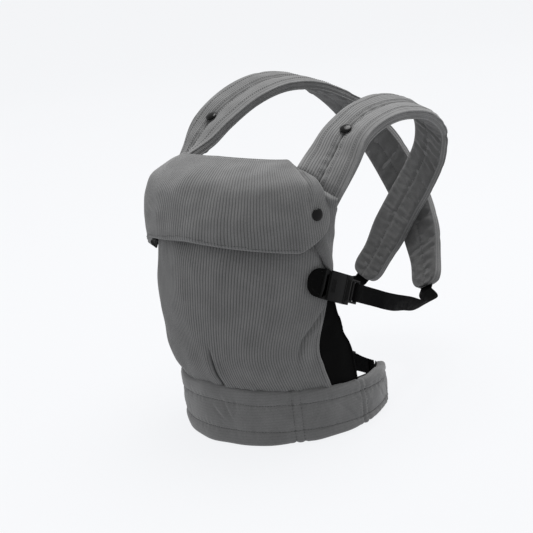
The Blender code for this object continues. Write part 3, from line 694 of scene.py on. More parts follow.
def build_panel():
    cols = PANEL_WALES * WALE_STEPS + 1
    low = list(PANEL_ROWS[0])
    low[0] -= 5.0
    rows = (tuple(low),) + PANEL_ROWS[1:]
    grid, across, level = oval_grid(rows, 116, cols)
    normal = normals(grid, (0, -1, 0))
    arc, up = arc_lengths(grid), heights_along(grid)
    phase = (across + 1) / 2 * PANEL_WALES
    half = PANEL_THICKNESS / 2
    from_side = arc[:, -1:] - np.abs(arc)
    full = np.sqrt(1 - (1 - np.clip(from_side / 5.0, 0, 1)) ** 2)
    middle = grid - normal * half
    relief = panel_relief(across, arc, level, up) + WALE_DEPTH * (wale(phase) - 0.5)
    relief *= soften(from_side / 4)
    outer = middle + normal * (full * half + relief)[..., None]
    back = (middle - normal * (0.5 * full)[..., None])[:, ::WALE_STEPS]
    uv = np.stack((phase * WALE, up), -1)
    cover = pad_object("front_panel", outer, back, uv, LOOKS["corduroy"], WALE_STEPS)
    settle(cover, replaces=["panel_cover", "panel_foam"])
    pick = (slice(None, None, 2), slice(None, None, 8))
    relief = 1.2 * ripple(arc, up, 40.0, 41) + 0.5 * ripple(arc, up, 13.0, 42)
    inner = middle - normal * (full * (half - 0.3 + relief * soften(from_side / 9)))[..., None]
    above = middle - normal * (full * (half - 2.2))[..., None]
    uv = np.stack((arc, up), -1)
    lining = pad_object("panel_inner_face", inner[pick], above[pick], uv[pick], LOOKS["lining"])
    settle(lining, replaces=["panel_lining"])
    edges = [middle[4:, k] for k in (2, -3)]
    settle(tube_object("panel_piping", edges, 1.5, LOOKS["piping"]))
    seams = []
    for side in (-1, 1):
        k = int(np.argmin(np.abs(from_side[40] - 7.0) + 1e3 * (np.sign(across[40]) != side)))
        seams.append((outer[6:, k], normal[6:, k]))
    settle(stitch_object("panel_stitching", seams, LOOKS["thread"]))
    return middle, normal


def build_gusset(name, side):
    """Triangle of black cloth that closes the leg opening beside the panel's lower edge."""
    rows = spline(PANEL_ROWS, 241)
    count, wide = 46, 20
    grid = []
    for number, reach in spline(GUSSET_ROWS, count):
        row = rows[int(round(number * 40))]
        angle = np.radians(side * np.linspace(row[4] - 1.5, row[4] + 0.4 + reach, wide))
        x, y = row[2] * np.sin(angle), row[1] - row[3] * np.cos(angle)
        foot = max(0.0, 1 - number)
        edge = table_value(BAND_HEIGHTS, np.degrees(np.arctan2(np.abs(x), -y))) - 1.5
        grid.append(np.stack((x, y, row[0] * (1 - foot) + edge * foot), 1))
    grid = np.array(grid)
    normal = normals(grid, (side, 0, 0))
    arc = np.abs(arc_lengths(grid) - arc_lengths(grid)[:, :1])
    up = heights_along(grid)
    relief = 0.9 * ripple(arc * 0.5, up, 16.0, 51) - PANEL_THICKNESS / 2
    outer = grid + normal * (relief + 0.8)[..., None]
    inner = grid + normal * (relief - 0.6)[..., None]
    uv = np.stack((arc, up), -1)
    cloth = pad_object(name + "_cloth", outer, inner, uv, LOOKS["black_cloth"])
    settle(cloth, replaces=[name])
    hem = outer[:, -1]
    settle(tube_object(name + "_hem", [hem], 1.6, LOOKS["black_cloth"]))


# ---- head support -------------------------------------------------------------------------
def flap_relief(across, arc, level, up):
    relief = 1.2 * ripple(arc, up, 70.0, 61) + 0.4 * ripple(arc, up, 26.0, 62)
    half = arc[:, -1:]
    for side in (-1, 1):
        place = side * np.interp(level, (0.0, 0.05, 0.27, 0.51), (1.02, 1.0, 0.90, 0.78))
        away = (across - place) * half
        fold = bump(away, 3.6) - 0.4 * bump(away - 8 * side, 5)
        relief -= 2.8 * soften((0.62 - level) / 0.25) * fold
        dx, dz = (across - side * 0.845) * half, (level - 0.645) * 110
        near = np.sqrt(dx ** 2 + dz ** 2)
        relief -= 1.6 * bump(near, 10.0)
    relief += 1.2 * np.sin(math.pi * np.clip(level, 0, 1)) ** 0.7
    return relief * soften(up / 16.0)


def build_flap(panel_middle, panel_normal):
    grid, across, level = oval_grid(FLAP_ROWS, 60, 661)
    grid[..., 2] -= FLAP_DROOP * np.clip(-2 * across - 1, 0, 1) * level ** 2
    normal = normals(grid, (0, -1, 0))
    arc, up = arc_lengths(grid), heights_along(grid)
    row = spline(FLAP_ROWS, 60)
    angle = row[:, 4:5] * across
    phase = angle / FLAP_WALE_ANGLE
    half = FLAP_THICKNESS / 2
    from_side = arc[:, -1:] - np.abs(arc)
    from_end = np.minimum(from_side, (up[-1:] - up))
    full = np.sqrt(1 - (1 - np.clip(from_end / 5.5, 0, 1)) ** 2)
    middle = grid - normal * half
    ridge = WALE_DEPTH * (wale(phase) - 0.5)
    relief = (flap_relief(across, arc, level, up) + ridge) * soften(from_end / 3)
    outer = middle + normal * (full * half + relief)[..., None]
    step = 6
    back = (middle - normal * (0.5 * full)[..., None])[:, ::step]
    uv = np.stack((phase * WALE, up), -1)
    cover = pad_object("head_support", outer, back, uv, LOOKS["corduroy"], step)
    settle(cover, "head_support", ["head_support_cover", "head_support_foam"])
    pick = (slice(None, None, 1), slice(None, None, 10))
    relief = 1.0 * ripple(arc, up, 36.0, 71) + 0.4 * ripple(arc, up, 12.0, 72)
    inner = middle - normal * (full * (half - 0.6 + relief * soften(from_end / 9)))[..., None]
    above = middle - normal * (full * (half - 2.4))[..., None]
    lining = pad_object("head_support_inner_face", inner[pick], above[pick],
                        np.stack((arc, up), -1)[pick], LOOKS["lining"])
    settle(lining, "head_support", ["head_support_lining"])
    rim = np.vstack((middle[1:, 1], middle[-2, 1:-1:6], middle[:0:-1, -2]))
    rim = even(rim, 420)
    settle(tube_object("head_support_piping", [rim], 1.5, LOOKS["piping"]),
           "head_support")
    line, out = [], []
    inset = 7.0
    for column in range(0, 661, 6):
        k = int(np.argmin(np.abs(up[-1, column] - up[:, column] - inset)))
        if from_side[k, column] > inset:
            line.append(outer[k, column])
            out.append(normal[k, column])
    settle(stitch_object("head_support_stitching", [(np.array(line), np.array(out))],
                         LOOKS["thread"]), "head_support")
    build_fold(outer, middle, normal, half, panel_middle, panel_normal)


def build_fold(outer, middle, normal, half, panel_middle, panel_normal):
    """Roll of padding over which the head support folds forwards from the panel's top edge."""
    count, steps = 331, 14
    columns = np.linspace(0, outer.shape[1] - 1, count).astype(int)
    panel_columns = np.linspace(0, panel_middle.shape[1] - 1, count).astype(int)
    thin = (PANEL_THICKNESS / 2 - 0.4)
    share = np.linspace(-1, 1, count)[:, None]
    edge = np.sqrt(np.clip(1 - np.abs(share) ** 40, 0, 1))
    flap_top, flap_out = middle[0, columns], normal[0, columns]
    panel_top, panel_out = panel_middle[-1, panel_columns], panel_normal[-1, panel_columns]
    up = np.array((0, 0, 1.0))
    curves = []
    onwards = unit(outer[0, columns] - outer[3, columns])
    for sign in (1, -1):
        a = outer[0, columns] if sign > 0 else flap_top - flap_out * half * edge
        d = panel_top - panel_out * sign * thin * edge
        b = a + onwards * (9.0 if sign > 0 else 3.0)
        c = d + up * (15.0 if sign > 0 else 5.0) - panel_out * (5.0 if sign > 0 else 0.0)
        t = np.linspace(0, 1, steps)[:, None, None]
        curves.append((1 - t) ** 3 * a + 3 * t * (1 - t) ** 2 * b + 3 * t * t * (1 - t) * c
                      + t ** 3 * d)
    angle = np.linspace(-FLAP_ROWS[0][4], FLAP_ROWS[0][4], count)
    phase = angle / FLAP_WALE_ANGLE
    uv = np.stack(np.broadcast_arrays((phase * WALE)[None], np.linspace(0, 30, steps)[:, None]), -1)
    ridge = unit(np.cross(np.gradient(curves[0], axis=0), np.gradient(curves[0], axis=1)))
    if ridge[steps // 2, count // 2, 2] < 0:
        ridge = -ridge
    fade = soften(np.linspace(0, 3, steps))[:, None]
    shown = curves[0] + ridge * (WALE_DEPTH * (wale(phase) - 0.5)[None] * fade)[..., None]
    fold = pad_object("head_support_fold_cloth", shown, curves[1], uv, LOOKS["corduroy"])
    settle(fold, None)
    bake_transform(fold)


# ---- shoulder straps ----------------------------------------------------------------------
def strap_frames(side, count):
    """Centres, width directions and outward directions along a strap."""
    route = spline([p for p, w in STRAP_ROUTE], count)
    widths = unit(spline([w for p, w in STRAP_ROUTE], count))
    along = unit(np.gradient(route, axis=0))
    widths = unit(widths - along * np.sum(widths * along, axis=1, keepdims=True))
    heights = np.cross(widths, along)
    share = np.linspace(0, 1, count)
    offset = -side * (STRAP_THICKNESS / 2 + STRAP_CLEARANCE) * bump(share - STRAP_CROSSING, 0.2)
    route = route + heights * offset[:, None]
    lift = bump(share - STRAP_LIFT_PLACES[side], 0.17)
    route = route + np.array(STRAP_LIFTS[side]) * lift[:, None]
    roll = math.radians(STRAP_ROLLS[side]) * bump(share - 0.35, 0.24)[:, None]
    widths = widths * np.cos(roll) + heights * np.sin(roll)
    heights = np.cross(widths, along)
    mirror = np.array((side, 1, 1))
    return route * mirror, widths * mirror, heights * mirror


def with_foot(side, count):
    """The strap's frames and shares, with a foot that dives down between panel and flap."""
    centres, widths, heights = strap_frames(side, count)
    share = np.linspace(0, 1, count)
    down = unit(centres[0] - centres[1])
    extra = np.linspace(STRAP_FOOT, 2.5, FOOT_ROWS)[:, None]
    foot = centres[0] + down * extra - heights[0] * FOOT_BEND * extra ** 2
    centres = np.vstack((foot, centres))
    widths = np.vstack((np.repeat(widths[:1], FOOT_ROWS, 0), widths))
    heights = np.vstack((np.repeat(heights[:1], FOOT_ROWS, 0), heights))
    return centres, widths, heights, np.concatenate((-extra[:, 0] / STRAP_LENGTH, share))


def strap_taper(share):
    """Width along a strap: narrower down the back, with a round lower end."""
    narrow = np.interp(share, (0.35, 0.75), (1.0, STRAP_END_WIDTH / STRAP_WIDTH))
    narrow = narrow * (1 - STRAP_TIP_TAPER * soften((share - 0.83) / 0.10))
    missing = np.clip(1 - (1 - share) * STRAP_LENGTH / 30.0, 0, 1)
    return narrow * (0.36 + 0.64 * np.sqrt(np.clip(1 - missing ** 2.4, 0, 1)))


def strap_section():
    """Chain (across, height) of a strap's cover with its rib phase: piping, side, piping, face."""
    half, low, high = STRAP_WIDTH / 2, -STRAP_THICKNESS / 2, STRAP_THICKNESS / 2
    radius = 1.5
    turn = np.radians(np.linspace(270, 90, 7))
    chain, phase, kind = [], [], []

    def add(w, h, p, k):
        chain.append((w, h))
        phase.append(p)
        kind.append(k)

    for centre in (low + radius + 0.6, None, high - radius):
        if centre is None:
            for f in np.linspace(0.06, 0.94, 18):
                add(-half + 1.2 - 0.9 * math.sin(math.pi * f), low + 3.6 + f * (high - low - 6.6),
                    f * 3.0, 0.6)
            continue
        for a in turn:
            add(-half + radius + 0.2 + radius * math.cos(a), centre + radius * math.sin(a),
                0.5, 0.0)
    wales = STRAP_WALES
    span = half - radius - 0.4
    for k in range(1, wales * WALE_STEPS + 1):
        f = k / (wales * WALE_STEPS)
        puff = 2.3 * math.sin(math.pi * min(f * 1.02, 1)) ** 0.7
        dip = -1.9 * math.exp(-((1 - f) * span / 1.7) ** 2)
        add(-span * (1 - f), high - 0.7 + puff + dip, f * wales, 1.0)
    left = np.array(chain)
    right = left[-2::-1] * (-1, 1)
    return (np.vstack((left, right)), np.array(phase + phase[-2::-1]),
            np.array(kind + kind[-2::-1]))


def strap_creases(side):
    """Cross wrinkles of a bent strap: sharp on the inside of the bend."""
    rng = np.random.default_rng(80 + side)
    found = []
    for place in (0.30, 0.345, 0.40, 0.44, 0.475, 0.51, 0.545, 0.59, 0.64, 0.80, 0.87):
        found.append((place + rng.uniform(-0.012, 0.012), rng.uniform(1.0, 2.6),
                      rng.uniform(-0.6, 0.6)))
    found.append((0.492, 4.2, 0.55))
    return found


def build_strap(name, side):
    centres, widths, heights, share = with_foot(side, 250)
    count = len(share)
    taper = strap_taper(share)
    section, phase, kind = strap_section()
    run = share * STRAP_LENGTH
    across = section[:, 0]
    tip = np.clip(1 - (1 - share) * STRAP_LENGTH / 9, 0, 1)
    thick = 1 - 0.55 * (1 - np.sqrt(np.clip(1 - tip ** 2, 0, 1)))
    thick = thick * (1 - 0.5 * soften(-share * STRAP_LENGTH / STRAP_FOOT))
    relief = np.tile(WALE_DEPTH * (wale(phase) - 0.5) * kind, (count, 1))
    relief += 0.8 * ripple(across[None], run[:, None], 48.0, 90 + side) * (kind > 0.9)
    beside_seam = bump(np.abs(across) - 4, 6)
    relief += 0.35 * ripple(across[None], run[:, None], 15.0, 95) * beside_seam * kind
    snap = (share - STRAP_SNAP) * STRAP_LENGTH
    relief -= 1.6 * bump(np.sqrt(snap[:, None] ** 2 + across[None] ** 2), 9.0) * (section[:, 1] > 3)
    for place, depth, lean in strap_creases(side):
        along = run[:, None] - place * STRAP_LENGTH - lean * across[None] * 0.5
        relief -= 0.30 * depth * bump(along, 4.5) * (section[:, 1] > 0)
    slope = unit(np.gradient(section, axis=0))
    out = np.stack((-slope[:, 1], slope[:, 0]), 1)
    chain = section[None] + out[None] * relief[..., None]
    low = -STRAP_THICKNESS / 2
    chain[..., 1] = low + (chain[..., 1] - low) * thick[:, None]
    rings = (centres[:, None] + widths[:, None] * (chain[..., :1] * taper[:, None, None])
             + heights[:, None] * chain[..., 1:])
    uv = np.stack(np.broadcast_arrays((phase * WALE)[None], run[:, None]), -1)
    cover = ring_object(f"shoulder_strap_{name}", rings, uv, LOOKS["corduroy"])
    settle(cover, replaces=[f"strap_cover_{name}", f"strap_foam_{name}"])
    build_strap_lining(name, side, centres, widths, heights, taper, share)
    lines = []
    count_points = len(section)
    for k in (count_points // 2 - 9, count_points // 2 + 9, 46, count_points - 47):
        lines.append((rings[3:-6, k] + heights[3:-6] * 0.15, heights[3:-6]))
    settle(stitch_object(f"strap_stitching_{name}", lines, LOOKS["thread"]))


def build_strap_lining(name, side, centres, widths, heights, taper, share):
    """Plain underside, quilted down its middle and gathered across."""
    run = (share * STRAP_LENGTH)[:, None]
    across = np.linspace(-1, 1, 45)[None] * (STRAP_WIDTH / 2 - 0.9)
    edge = STRAP_WIDTH / 2 - 0.9 - np.abs(across)
    lobes = 1 - bump(across, 4.0)
    relief = 1.1 * lobes * soften(edge / 6)
    relief = relief + 0.9 * ripple(across * 0.6, run, 13.0, 101 + side) * lobes
    relief += 0.5 * ripple(across * 0.25, run, 6.5, 104 + side) * bump(np.abs(across) - 4, 5)
    for place, depth, lean in strap_creases(side):
        along = run - place * STRAP_LENGTH - lean * across * 0.5
        crease = bump(along, 2.6) - 0.55 * bump(along - 7, 4.0) - 0.35 * bump(along + 7, 4.0)
        relief -= (0.62 if place > 0.48 else 0.3) * depth * crease
    relief *= soften(edge / 3)
    low = -STRAP_THICKNESS / 2
    level = low + 0.55 - np.clip(relief, -2.2, 3.2)
    wide = (across * taper[:, None])[..., None]
    shown = centres[:, None] + widths[:, None] * wide + heights[:, None] * level[..., None]
    above = centres[:, None] + widths[:, None] * wide + heights[:, None] * (low + 2.9)
    uv = np.stack(np.broadcast_arrays(across, run), -1)
    lining = pad_object(f"strap_inner_face_{name}", shown, above, uv, LOOKS["lining"])
    settle(lining, replaces=[f"strap_lining_{name}"])
    middle = shown[4:-5, across.shape[1] // 2]
    seam = [(middle, -heights[4:-5])]
    settle(stitch_object(f"strap_quilting_{name}", seam, LOOKS["thread"]))




def build_wing(name, side):
    """Ribbed cloth from a shoulder strap's foot down over the panel's side to the tab."""
    mirror = np.array((side, 1, 1))
    count, wide = 60, 61
    centres, widths, heights, _ = with_foot(side, 60)
    paths = []
    for path, edge in ((WING_INNER, -1), (WING_OUTER, 1)):
        on_strap = [centres[k] + widths[k] * edge * (STRAP_WIDTH / 2 - 2.0)
                    + heights[k] * rise for k, rise in ((5, 1.0), (2, 2.5))]
        paths.append(spline(np.vstack((on_strap, np.array(path, float) * mirror)), count))
    inner, outline = paths
    b = np.linspace(0, 1, wide)[None, :, None]
    t = np.linspace(0, 1, count)[:, None]
    bulge = np.array((side * 7.0, -4.0, 0.0)) * (4 * b * (1 - b)) * soften(t * 4)[..., None]
    grid = inner[:, None] * (1 - b) + outline[:, None] * b + bulge
    normal = normals(grid, (side, -0.6, 0))
    length = np.linalg.norm(outline - inner, axis=1)[:, None]
    steps = np.linalg.norm(np.diff(inner, axis=0), axis=1)
    along = np.concatenate(([0], np.cumsum(steps)))[:, None]
    across = b[..., 0] * length
    phase = np.tile(b[..., 0] * 2 * STRAP_WALES, (count, 1))
    edge = np.sqrt(1 - (1 - np.clip(np.minimum(across, length - across) / 3.0, 0, 1)) ** 2)
    edge = edge * soften(t * 5)
    ridge = WALE_DEPTH * (wale(phase) - 0.5) * edge
    wrinkle = 0.8 * ripple(across, along, 22.0, 141 + side) * edge
    outer = grid + normal * (0.1 + 1.8 * edge + ridge + wrinkle)[..., None]
    back = grid - normal * (1.6 * edge)[..., None]
    up = np.broadcast_to(along, phase.shape)
    wing = pad_object(f"shoulder_wing_{name}", outer, back, np.stack((phase * WALE, up), -1),
                      LOOKS["corduroy"])
    settle(wing)


# ---- buckles, webbing and studs -----------------------------------------------------------
def rounded_copy(node, name, width, look, body):
    """The node's shape with rounded edges, in place of the node."""
    source = frame["nodes"][node]
    bm = bmesh.new()
    bm.from_mesh(source.data)
    bmesh.ops.remove_doubles(bm, verts=bm.verts, dist=0.01 * MM)
    bmesh.ops.dissolve_limit(bm, angle_limit=math.radians(1), verts=bm.verts, edges=bm.edges)
    mesh = bpy.data.meshes.new(name)
    bm.to_mesh(mesh)
    bm.free()
    obj = bpy.data.objects.new(name, mesh)
    bpy.context.scene.collection.objects.link(obj)
    bevel = obj.modifiers.new("rounding", "BEVEL")
    bevel.width = width * MM
    bevel.segments = 3
    bevel.limit_method = "ANGLE"
    bevel.angle_limit = math.radians(30)
    bevel.use_clamp_overlap = True
    apply_modifiers(obj)
    obj.data.materials.clear()
    obj.data.materials.append(LOOKS[look])
    obj.data.shade_smooth()
    obj.data.set_sharp_from_angle(angle=math.radians(50))
    return settle(obj, body, [node])


def apply_modifiers(obj):
    bpy.context.view_layer.update()
    shaped = obj.evaluated_get(bpy.context.evaluated_depsgraph_get())
    mesh = bpy.data.meshes.new_from_object(shaped)
    obj.modifiers.clear()
    obj.data = mesh


def buckle_axes(place, forward, outward):
    """Origin in millimetres and the three axes of a buckle: out of the mouth, across, outward."""
    x = unit(np.array(forward, float))
    z = np.array(outward, float)
    z = unit(z - x * np.dot(x, z))
    return np.array(place, float), np.stack((x, np.cross(z, x), z))


def local_bar(name, axes, low, high, radius, look, body, count=4):
    """Rounded bar between two corners in a buckle's own axes."""
    place, turn = axes
    mesh = bpy.data.meshes.new(name)
    bm = bmesh.new()
    bmesh.ops.create_cube(bm, size=1.0)
    low, high = np.array(low, float), np.array(high, float)
    for vert in bm.verts:
        point = (low + high) / 2 + np.array(vert.co) * (high - low)
        vert.co = Vector(world(place + point @ turn))
    bmesh.ops.bevel(bm, geom=list(bm.edges), offset=radius * MM, segments=count,
                    profile=0.5, affect="EDGES")
    bmesh.ops.recalc_face_normals(bm, faces=bm.faces)
    bm.to_mesh(mesh)
    bm.free()
    mesh.shade_smooth()
    mesh.set_sharp_from_angle(angle=math.radians(60))
    mesh.materials.append(LOOKS[look])
    obj = bpy.data.objects.new(name, mesh)
    bpy.context.scene.collection.objects.link(obj)
    return settle(obj, body)


def build_buckle(name, spec):
    axes = buckle_axes(*spec)
    parts = {"socket": "carrier", "plug": f"{name}_plug", "prong_a": f"{name}_prong_a",
             "prong_b": f"{name}_prong_b"}
    for part, body in parts.items():
        node = f"{name}_buckle_{part}"
        rounded_copy(node, f"{node}_moulding", 0.7 if part != "socket" else 1.0, "plastic", body)
    top, wide = BUCKLE_HALF_THICKNESS + 0.5, BUCKLE_HALF_WIDTH - 0.8
    for k, x in enumerate(np.linspace(-26.5, -20.5, 4)):
        local_bar(f"{name}_socket_rib_{k}", axes, (x - 0.5, -8, top - 0.6), (x + 0.5, 8, top), 0.25,
                  "plastic", "carrier", 2)
    local_bar(f"{name}_socket_lip", axes, (-2.4, -wide, top - 0.6), (-0.9, wide, top), 0.27,
              "plastic", "carrier", 2)
    for k, x in enumerate((2.6, 4.2, 5.8)):
        local_bar(f"{name}_plug_rib_{k}", axes, (x - 0.4, -13, top - 0.6), (x + 0.4, 13, top), 0.22,
                  "plastic", f"{name}_plug", 2)
    for part, side in (("prong_a", 1), ("prong_b", -1)):
        for k, x in enumerate(np.linspace(-19.0, -12.5, 5)):
            y = sorted((side * (BUCKLE_HALF_WIDTH - 2.15), side * (BUCKLE_HALF_WIDTH - 1.65)))
            local_bar(f"{name}_{part}_grip_{k}", axes, (x - 0.4, y[0], -2.0), (x + 0.4, y[1], 2.0),
                      0.2, "plastic", f"{name}_{part}", 2)
    return axes


def ribbon_rings(centres, widths, thickness, width):
    """Sections of flat webbing with rounded selvedges."""
    along = unit(np.gradient(centres, axis=0))
    widths = unit(widths - along * np.sum(widths * along, axis=1, keepdims=True))
    heights = np.cross(widths, along)
    half, thick = width / 2, thickness / 2
    spread = np.linspace(-half + thick, half - thick, 23)
    turn = np.radians(np.linspace(-90, 90, 5))
    right = np.stack((half - thick + thick * np.cos(turn), thick * np.sin(turn)), 1)
    top = np.stack((spread[::-1], np.full(23, thick)), 1)[1:-1]
    left = right[::-1] * (-1, 1)
    bottom = np.stack((spread, np.full(23, -thick)), 1)[1:-1]
    section = np.vstack((right, top, left, bottom))
    rings = (centres[:, None] + widths[:, None] * section[None, :, :1]
             + heights[:, None] * section[None, :, 1:])
    length = np.concatenate(([0], np.cumsum(np.linalg.norm(np.diff(centres, axis=0), axis=1))))
    uv = np.stack(np.broadcast_arrays(section[None, :, 0], length[:, None]), -1)
    return rings, uv


def in_buckle(axes, x, z=0.0):
    place, turn = axes
    return place + np.array((x, 0.0, z)) @ turn


def strap_end(side):
    """Where the strap that ends on the given side stops, its width and the way it runs."""
    centres, widths, _ = strap_frames(-side, 25)
    along = unit(centres[-1] - centres[-2])
    return centres[-1], widths[-1] * side, along


def web_around_bar(axes):
    """Webbing's way from its folded tail, round the plug's bar and out again."""
    height = 2.4 + 1.1
    points = [in_buckle(axes, PLUG_BAR + 34, -1.6), in_buckle(axes, PLUG_BAR + 22, -2.0),
              in_buckle(axes, PLUG_BAR + 9, -height + 0.4), in_buckle(axes, PLUG_BAR + 3, -height)]
    for a in np.radians((-90, -130, 180, 130, 90)):
        points.append(in_buckle(axes, PLUG_BAR + 1.0 + 2.8 * math.cos(a), height * math.sin(a)))
    points += [in_buckle(axes, PLUG_BAR + 6, height - 0.2), in_buckle(axes, PLUG_BAR + 14, 1.6)]
    return points


def build_webbing(name, axes, travel, route, route_widths, nodes):
    """One strap of webbing from the buckle's plug to the piece that holds its other end."""
    start = PLUG_BAR + 3.5 + travel + 3.0
    points = web_around_bar(axes)
    points += [in_buckle(axes, start + 6, 0.3), in_buckle(axes, start + 20, 0.0),
               in_buckle(axes, start + 12 + travel, 0.0)]
    across = [axes[1][1]] * len(points)
    for point, width in zip(route, route_widths):
        points.append(np.array(point, float))
        across.append(width if np.dot(width, across[-1]) > 0 else -width)
    centres = spline(points, 260)
    widths = unit(spline(across, 260))
    rings, uv = ribbon_rings(centres, widths, WEB_THICKNESS, WEB_WIDTH)
    web = ring_object(f"{name}_strap_web", rings, uv, LOOKS["webbing"])
    settle(web, None, nodes)
    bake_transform(web)


def build_side(name, side):
    mirror = np.array((side, 1, 1))
    spec = tuple(np.array(v, float) * mirror for v in SIDE_BUCKLE)
    axes = build_buckle(f"side_{name}", spec)
    end, end_width, along = strap_end(side)
    if end_width[2] < 0:
        end_width = -end_width
    frame_width = axes[1][1]
    if frame_width[2] < 0:
        end_width = -end_width
    route = [np.array(p) * mirror for p in SIDE_WEBBING]
    route += [end + along * 10 + (side * 2, -5, 2), end + along * 1.0, end - along * 10.0]
    shares = np.linspace(0.15, 1.0, len(SIDE_WEBBING))
    widths = [unit(frame_width * (1 - s) + end_width * s) for s in shares] + [end_width] * 3
    build_webbing(f"side_{name}", axes, SIDE_TRAVEL, route, widths,
                  [f"side_{name}_webbing", f"side_{name}_webbing_loop"])
    build_tab(name, axes)


def build_tab(name, axes):
    """Rounded tab of black cloth, doubled over the socket's bar and sewn to the panel's edge."""
    place, turn = axes
    end, half = -BAR_BACK - TAB_LENGTH - 1.0, TAB_HALF_WIDTH
    reach = -BAR_BACK + 3.0 - end
    rows, cols = 40, 27

    def bend(x):
        return -3.6 - TAB_BEND * (np.clip(-BAR_BACK - x, 0, None) / TAB_LENGTH) ** 1.4

    grid = []
    for f in np.linspace(0, 1, rows):
        x = end + reach * f
        back = np.clip(1 - f * reach / (TAB_LENGTH - 2.0), 0, 1)
        width = half * math.sqrt(max(1 - back ** 2.4, 0.0)) + 0.4
        grid.append([(x, y, bend(x)) for y in np.linspace(-width, width, cols)])
    grid = np.array(grid)
    x, y = grid[..., 0], grid[..., 1]
    edge = np.minimum(half + 0.4 - np.abs(y), x - end + 1.0)
    full = np.sqrt(1 - (1 - np.clip(edge / 2.0, 0, 1)) ** 2)
    seam = bump(edge - 3.6, 0.9)
    fat = (2.4 + 1.2 * bump(x - (-BAR_BACK + 1), 5)) * full - 0.6 * seam * full
    fat = fat - 0.9 * bump(x - y * 0.25 + BAR_BACK + 8, 1.8) * full
    fat = fat + 0.2 * ripple(x, y, 9.0, 131) * full
    top, low = grid.copy(), grid.copy()
    normal = normals(grid, (0, 0, 1))
    top = top + normal * fat[..., None]
    low = low - normal * (1.2 * full)[..., None]
    uv = np.stack((y, x), -1)
    tab = pad_object(f"side_tab_{name}_cloth", place + top @ turn, place + low @ turn, uv,
                     LOOKS["black_cloth"])
    settle(tab, replaces=[f"side_tab_{name}"])
    inset = half - 3.2
    line = [(-BAR_BACK - 1.0, -inset)]
    line += [(end + half - 1.5 - (inset - 1.0) * math.cos(a), inset * math.sin(a))
             for a in np.radians(np.linspace(-90, 90, 15))] + [(-BAR_BACK - 1.0, inset)]
    line = [(x, y, bend(x) + 2.0) for x, y in line]
    cross = [(-BAR_BACK - 4.0, y, bend(-BAR_BACK - 4.0) + 2.5) for y in (-inset, inset)]
    lines = [even(np.array(line), 60), even(np.array(cross), 12)]
    out = turn[2]
    seams = [(place + l @ turn, np.tile(out, (len(l), 1))) for l in lines]
    settle(stitch_object(f"side_tab_stitching_{name}", seams, LOOKS["black_thread"]))


def build_waist():
    axes = build_buckle("waist", WAIST_BUCKLE)
    middle = BAND_RADIUS - BAND_THICKNESS / 2
    up = np.array((0, 0, 1.0))
    height = WAIST_BUCKLE[0][2]

    def on_band(angle):
        a = math.radians(angle)
        return np.array((middle * math.sin(a), -middle * math.cos(a), height))

    build_webbing("waist", axes, WAIST_TRAVEL, [on_band(152), on_band(138.5), on_band(134)],
                  [up] * 3, ["waist_webbing", "waist_webbing_loop"])
    bar = in_buckle(axes, -BAR_BACK - 4.6)
    far = [on_band(-150), on_band(-138.5), on_band(-134)]
    tip = in_buckle(axes, -BAR_BACK + 1.0)
    route = [tip, bar, bar * 0.5 + far[0] * 0.5 + np.array((-3, 3, 0)), *far]
    rings, uv = ribbon_rings(spline(route, 90), np.tile(up, (90, 1)), WEB_THICKNESS, WEB_WIDTH)
    web = ring_object("waist_fixed_web", rings, uv, LOOKS["webbing"])
    settle(web, replaces=["waist_webbing_fixed"])


def build_stud(node, body):
    """Press stud cap: a glossy dome with a rolled rim."""
    co = np.array([v.co for v in frame["nodes"][node].data.vertices], float) / MM
    centre = co.mean(0)
    axis = np.linalg.svd(co - centre)[2][2]
    outward = centre - (0, CENTRE_Y, 330.0) if "head" in node else np.array((0, 0, 1.0))
    axis = axis if np.dot(axis, outward) > 0 else -axis
    height = (co - centre) @ axis
    base = centre + axis * height.min()
    profile = ((0.0, -1.2), (5.6, -1.2), (7.1, -0.2), (7.5, 0.6), (7.4, 1.3), (6.8, 2.0),
               (5.6, 2.6), (4.0, 3.0), (2.0, 3.25), (0.0, 3.3))
    profile = spline(profile, 44)
    side = unit(np.cross(axis, (0.3, 0.9, 0.2)))
    other = np.cross(axis, side)
    turn = np.linspace(0, 2 * math.pi, 40, endpoint=False)
    radius = np.maximum(profile[:, 0], 0.02)
    rings = (base + axis * profile[:, None, 1:] + radius[:, None, None]
             * (side * np.cos(turn)[None, :, None] + other * np.sin(turn)[None, :, None]))
    rings = rings - (0, CENTRE_Y, 0)
    uv = np.zeros((*rings.shape[:2], 2))
    stud = ring_object(f"{node}_cap", rings, uv, LOOKS["snap"])
    settle(stud, body, [node])


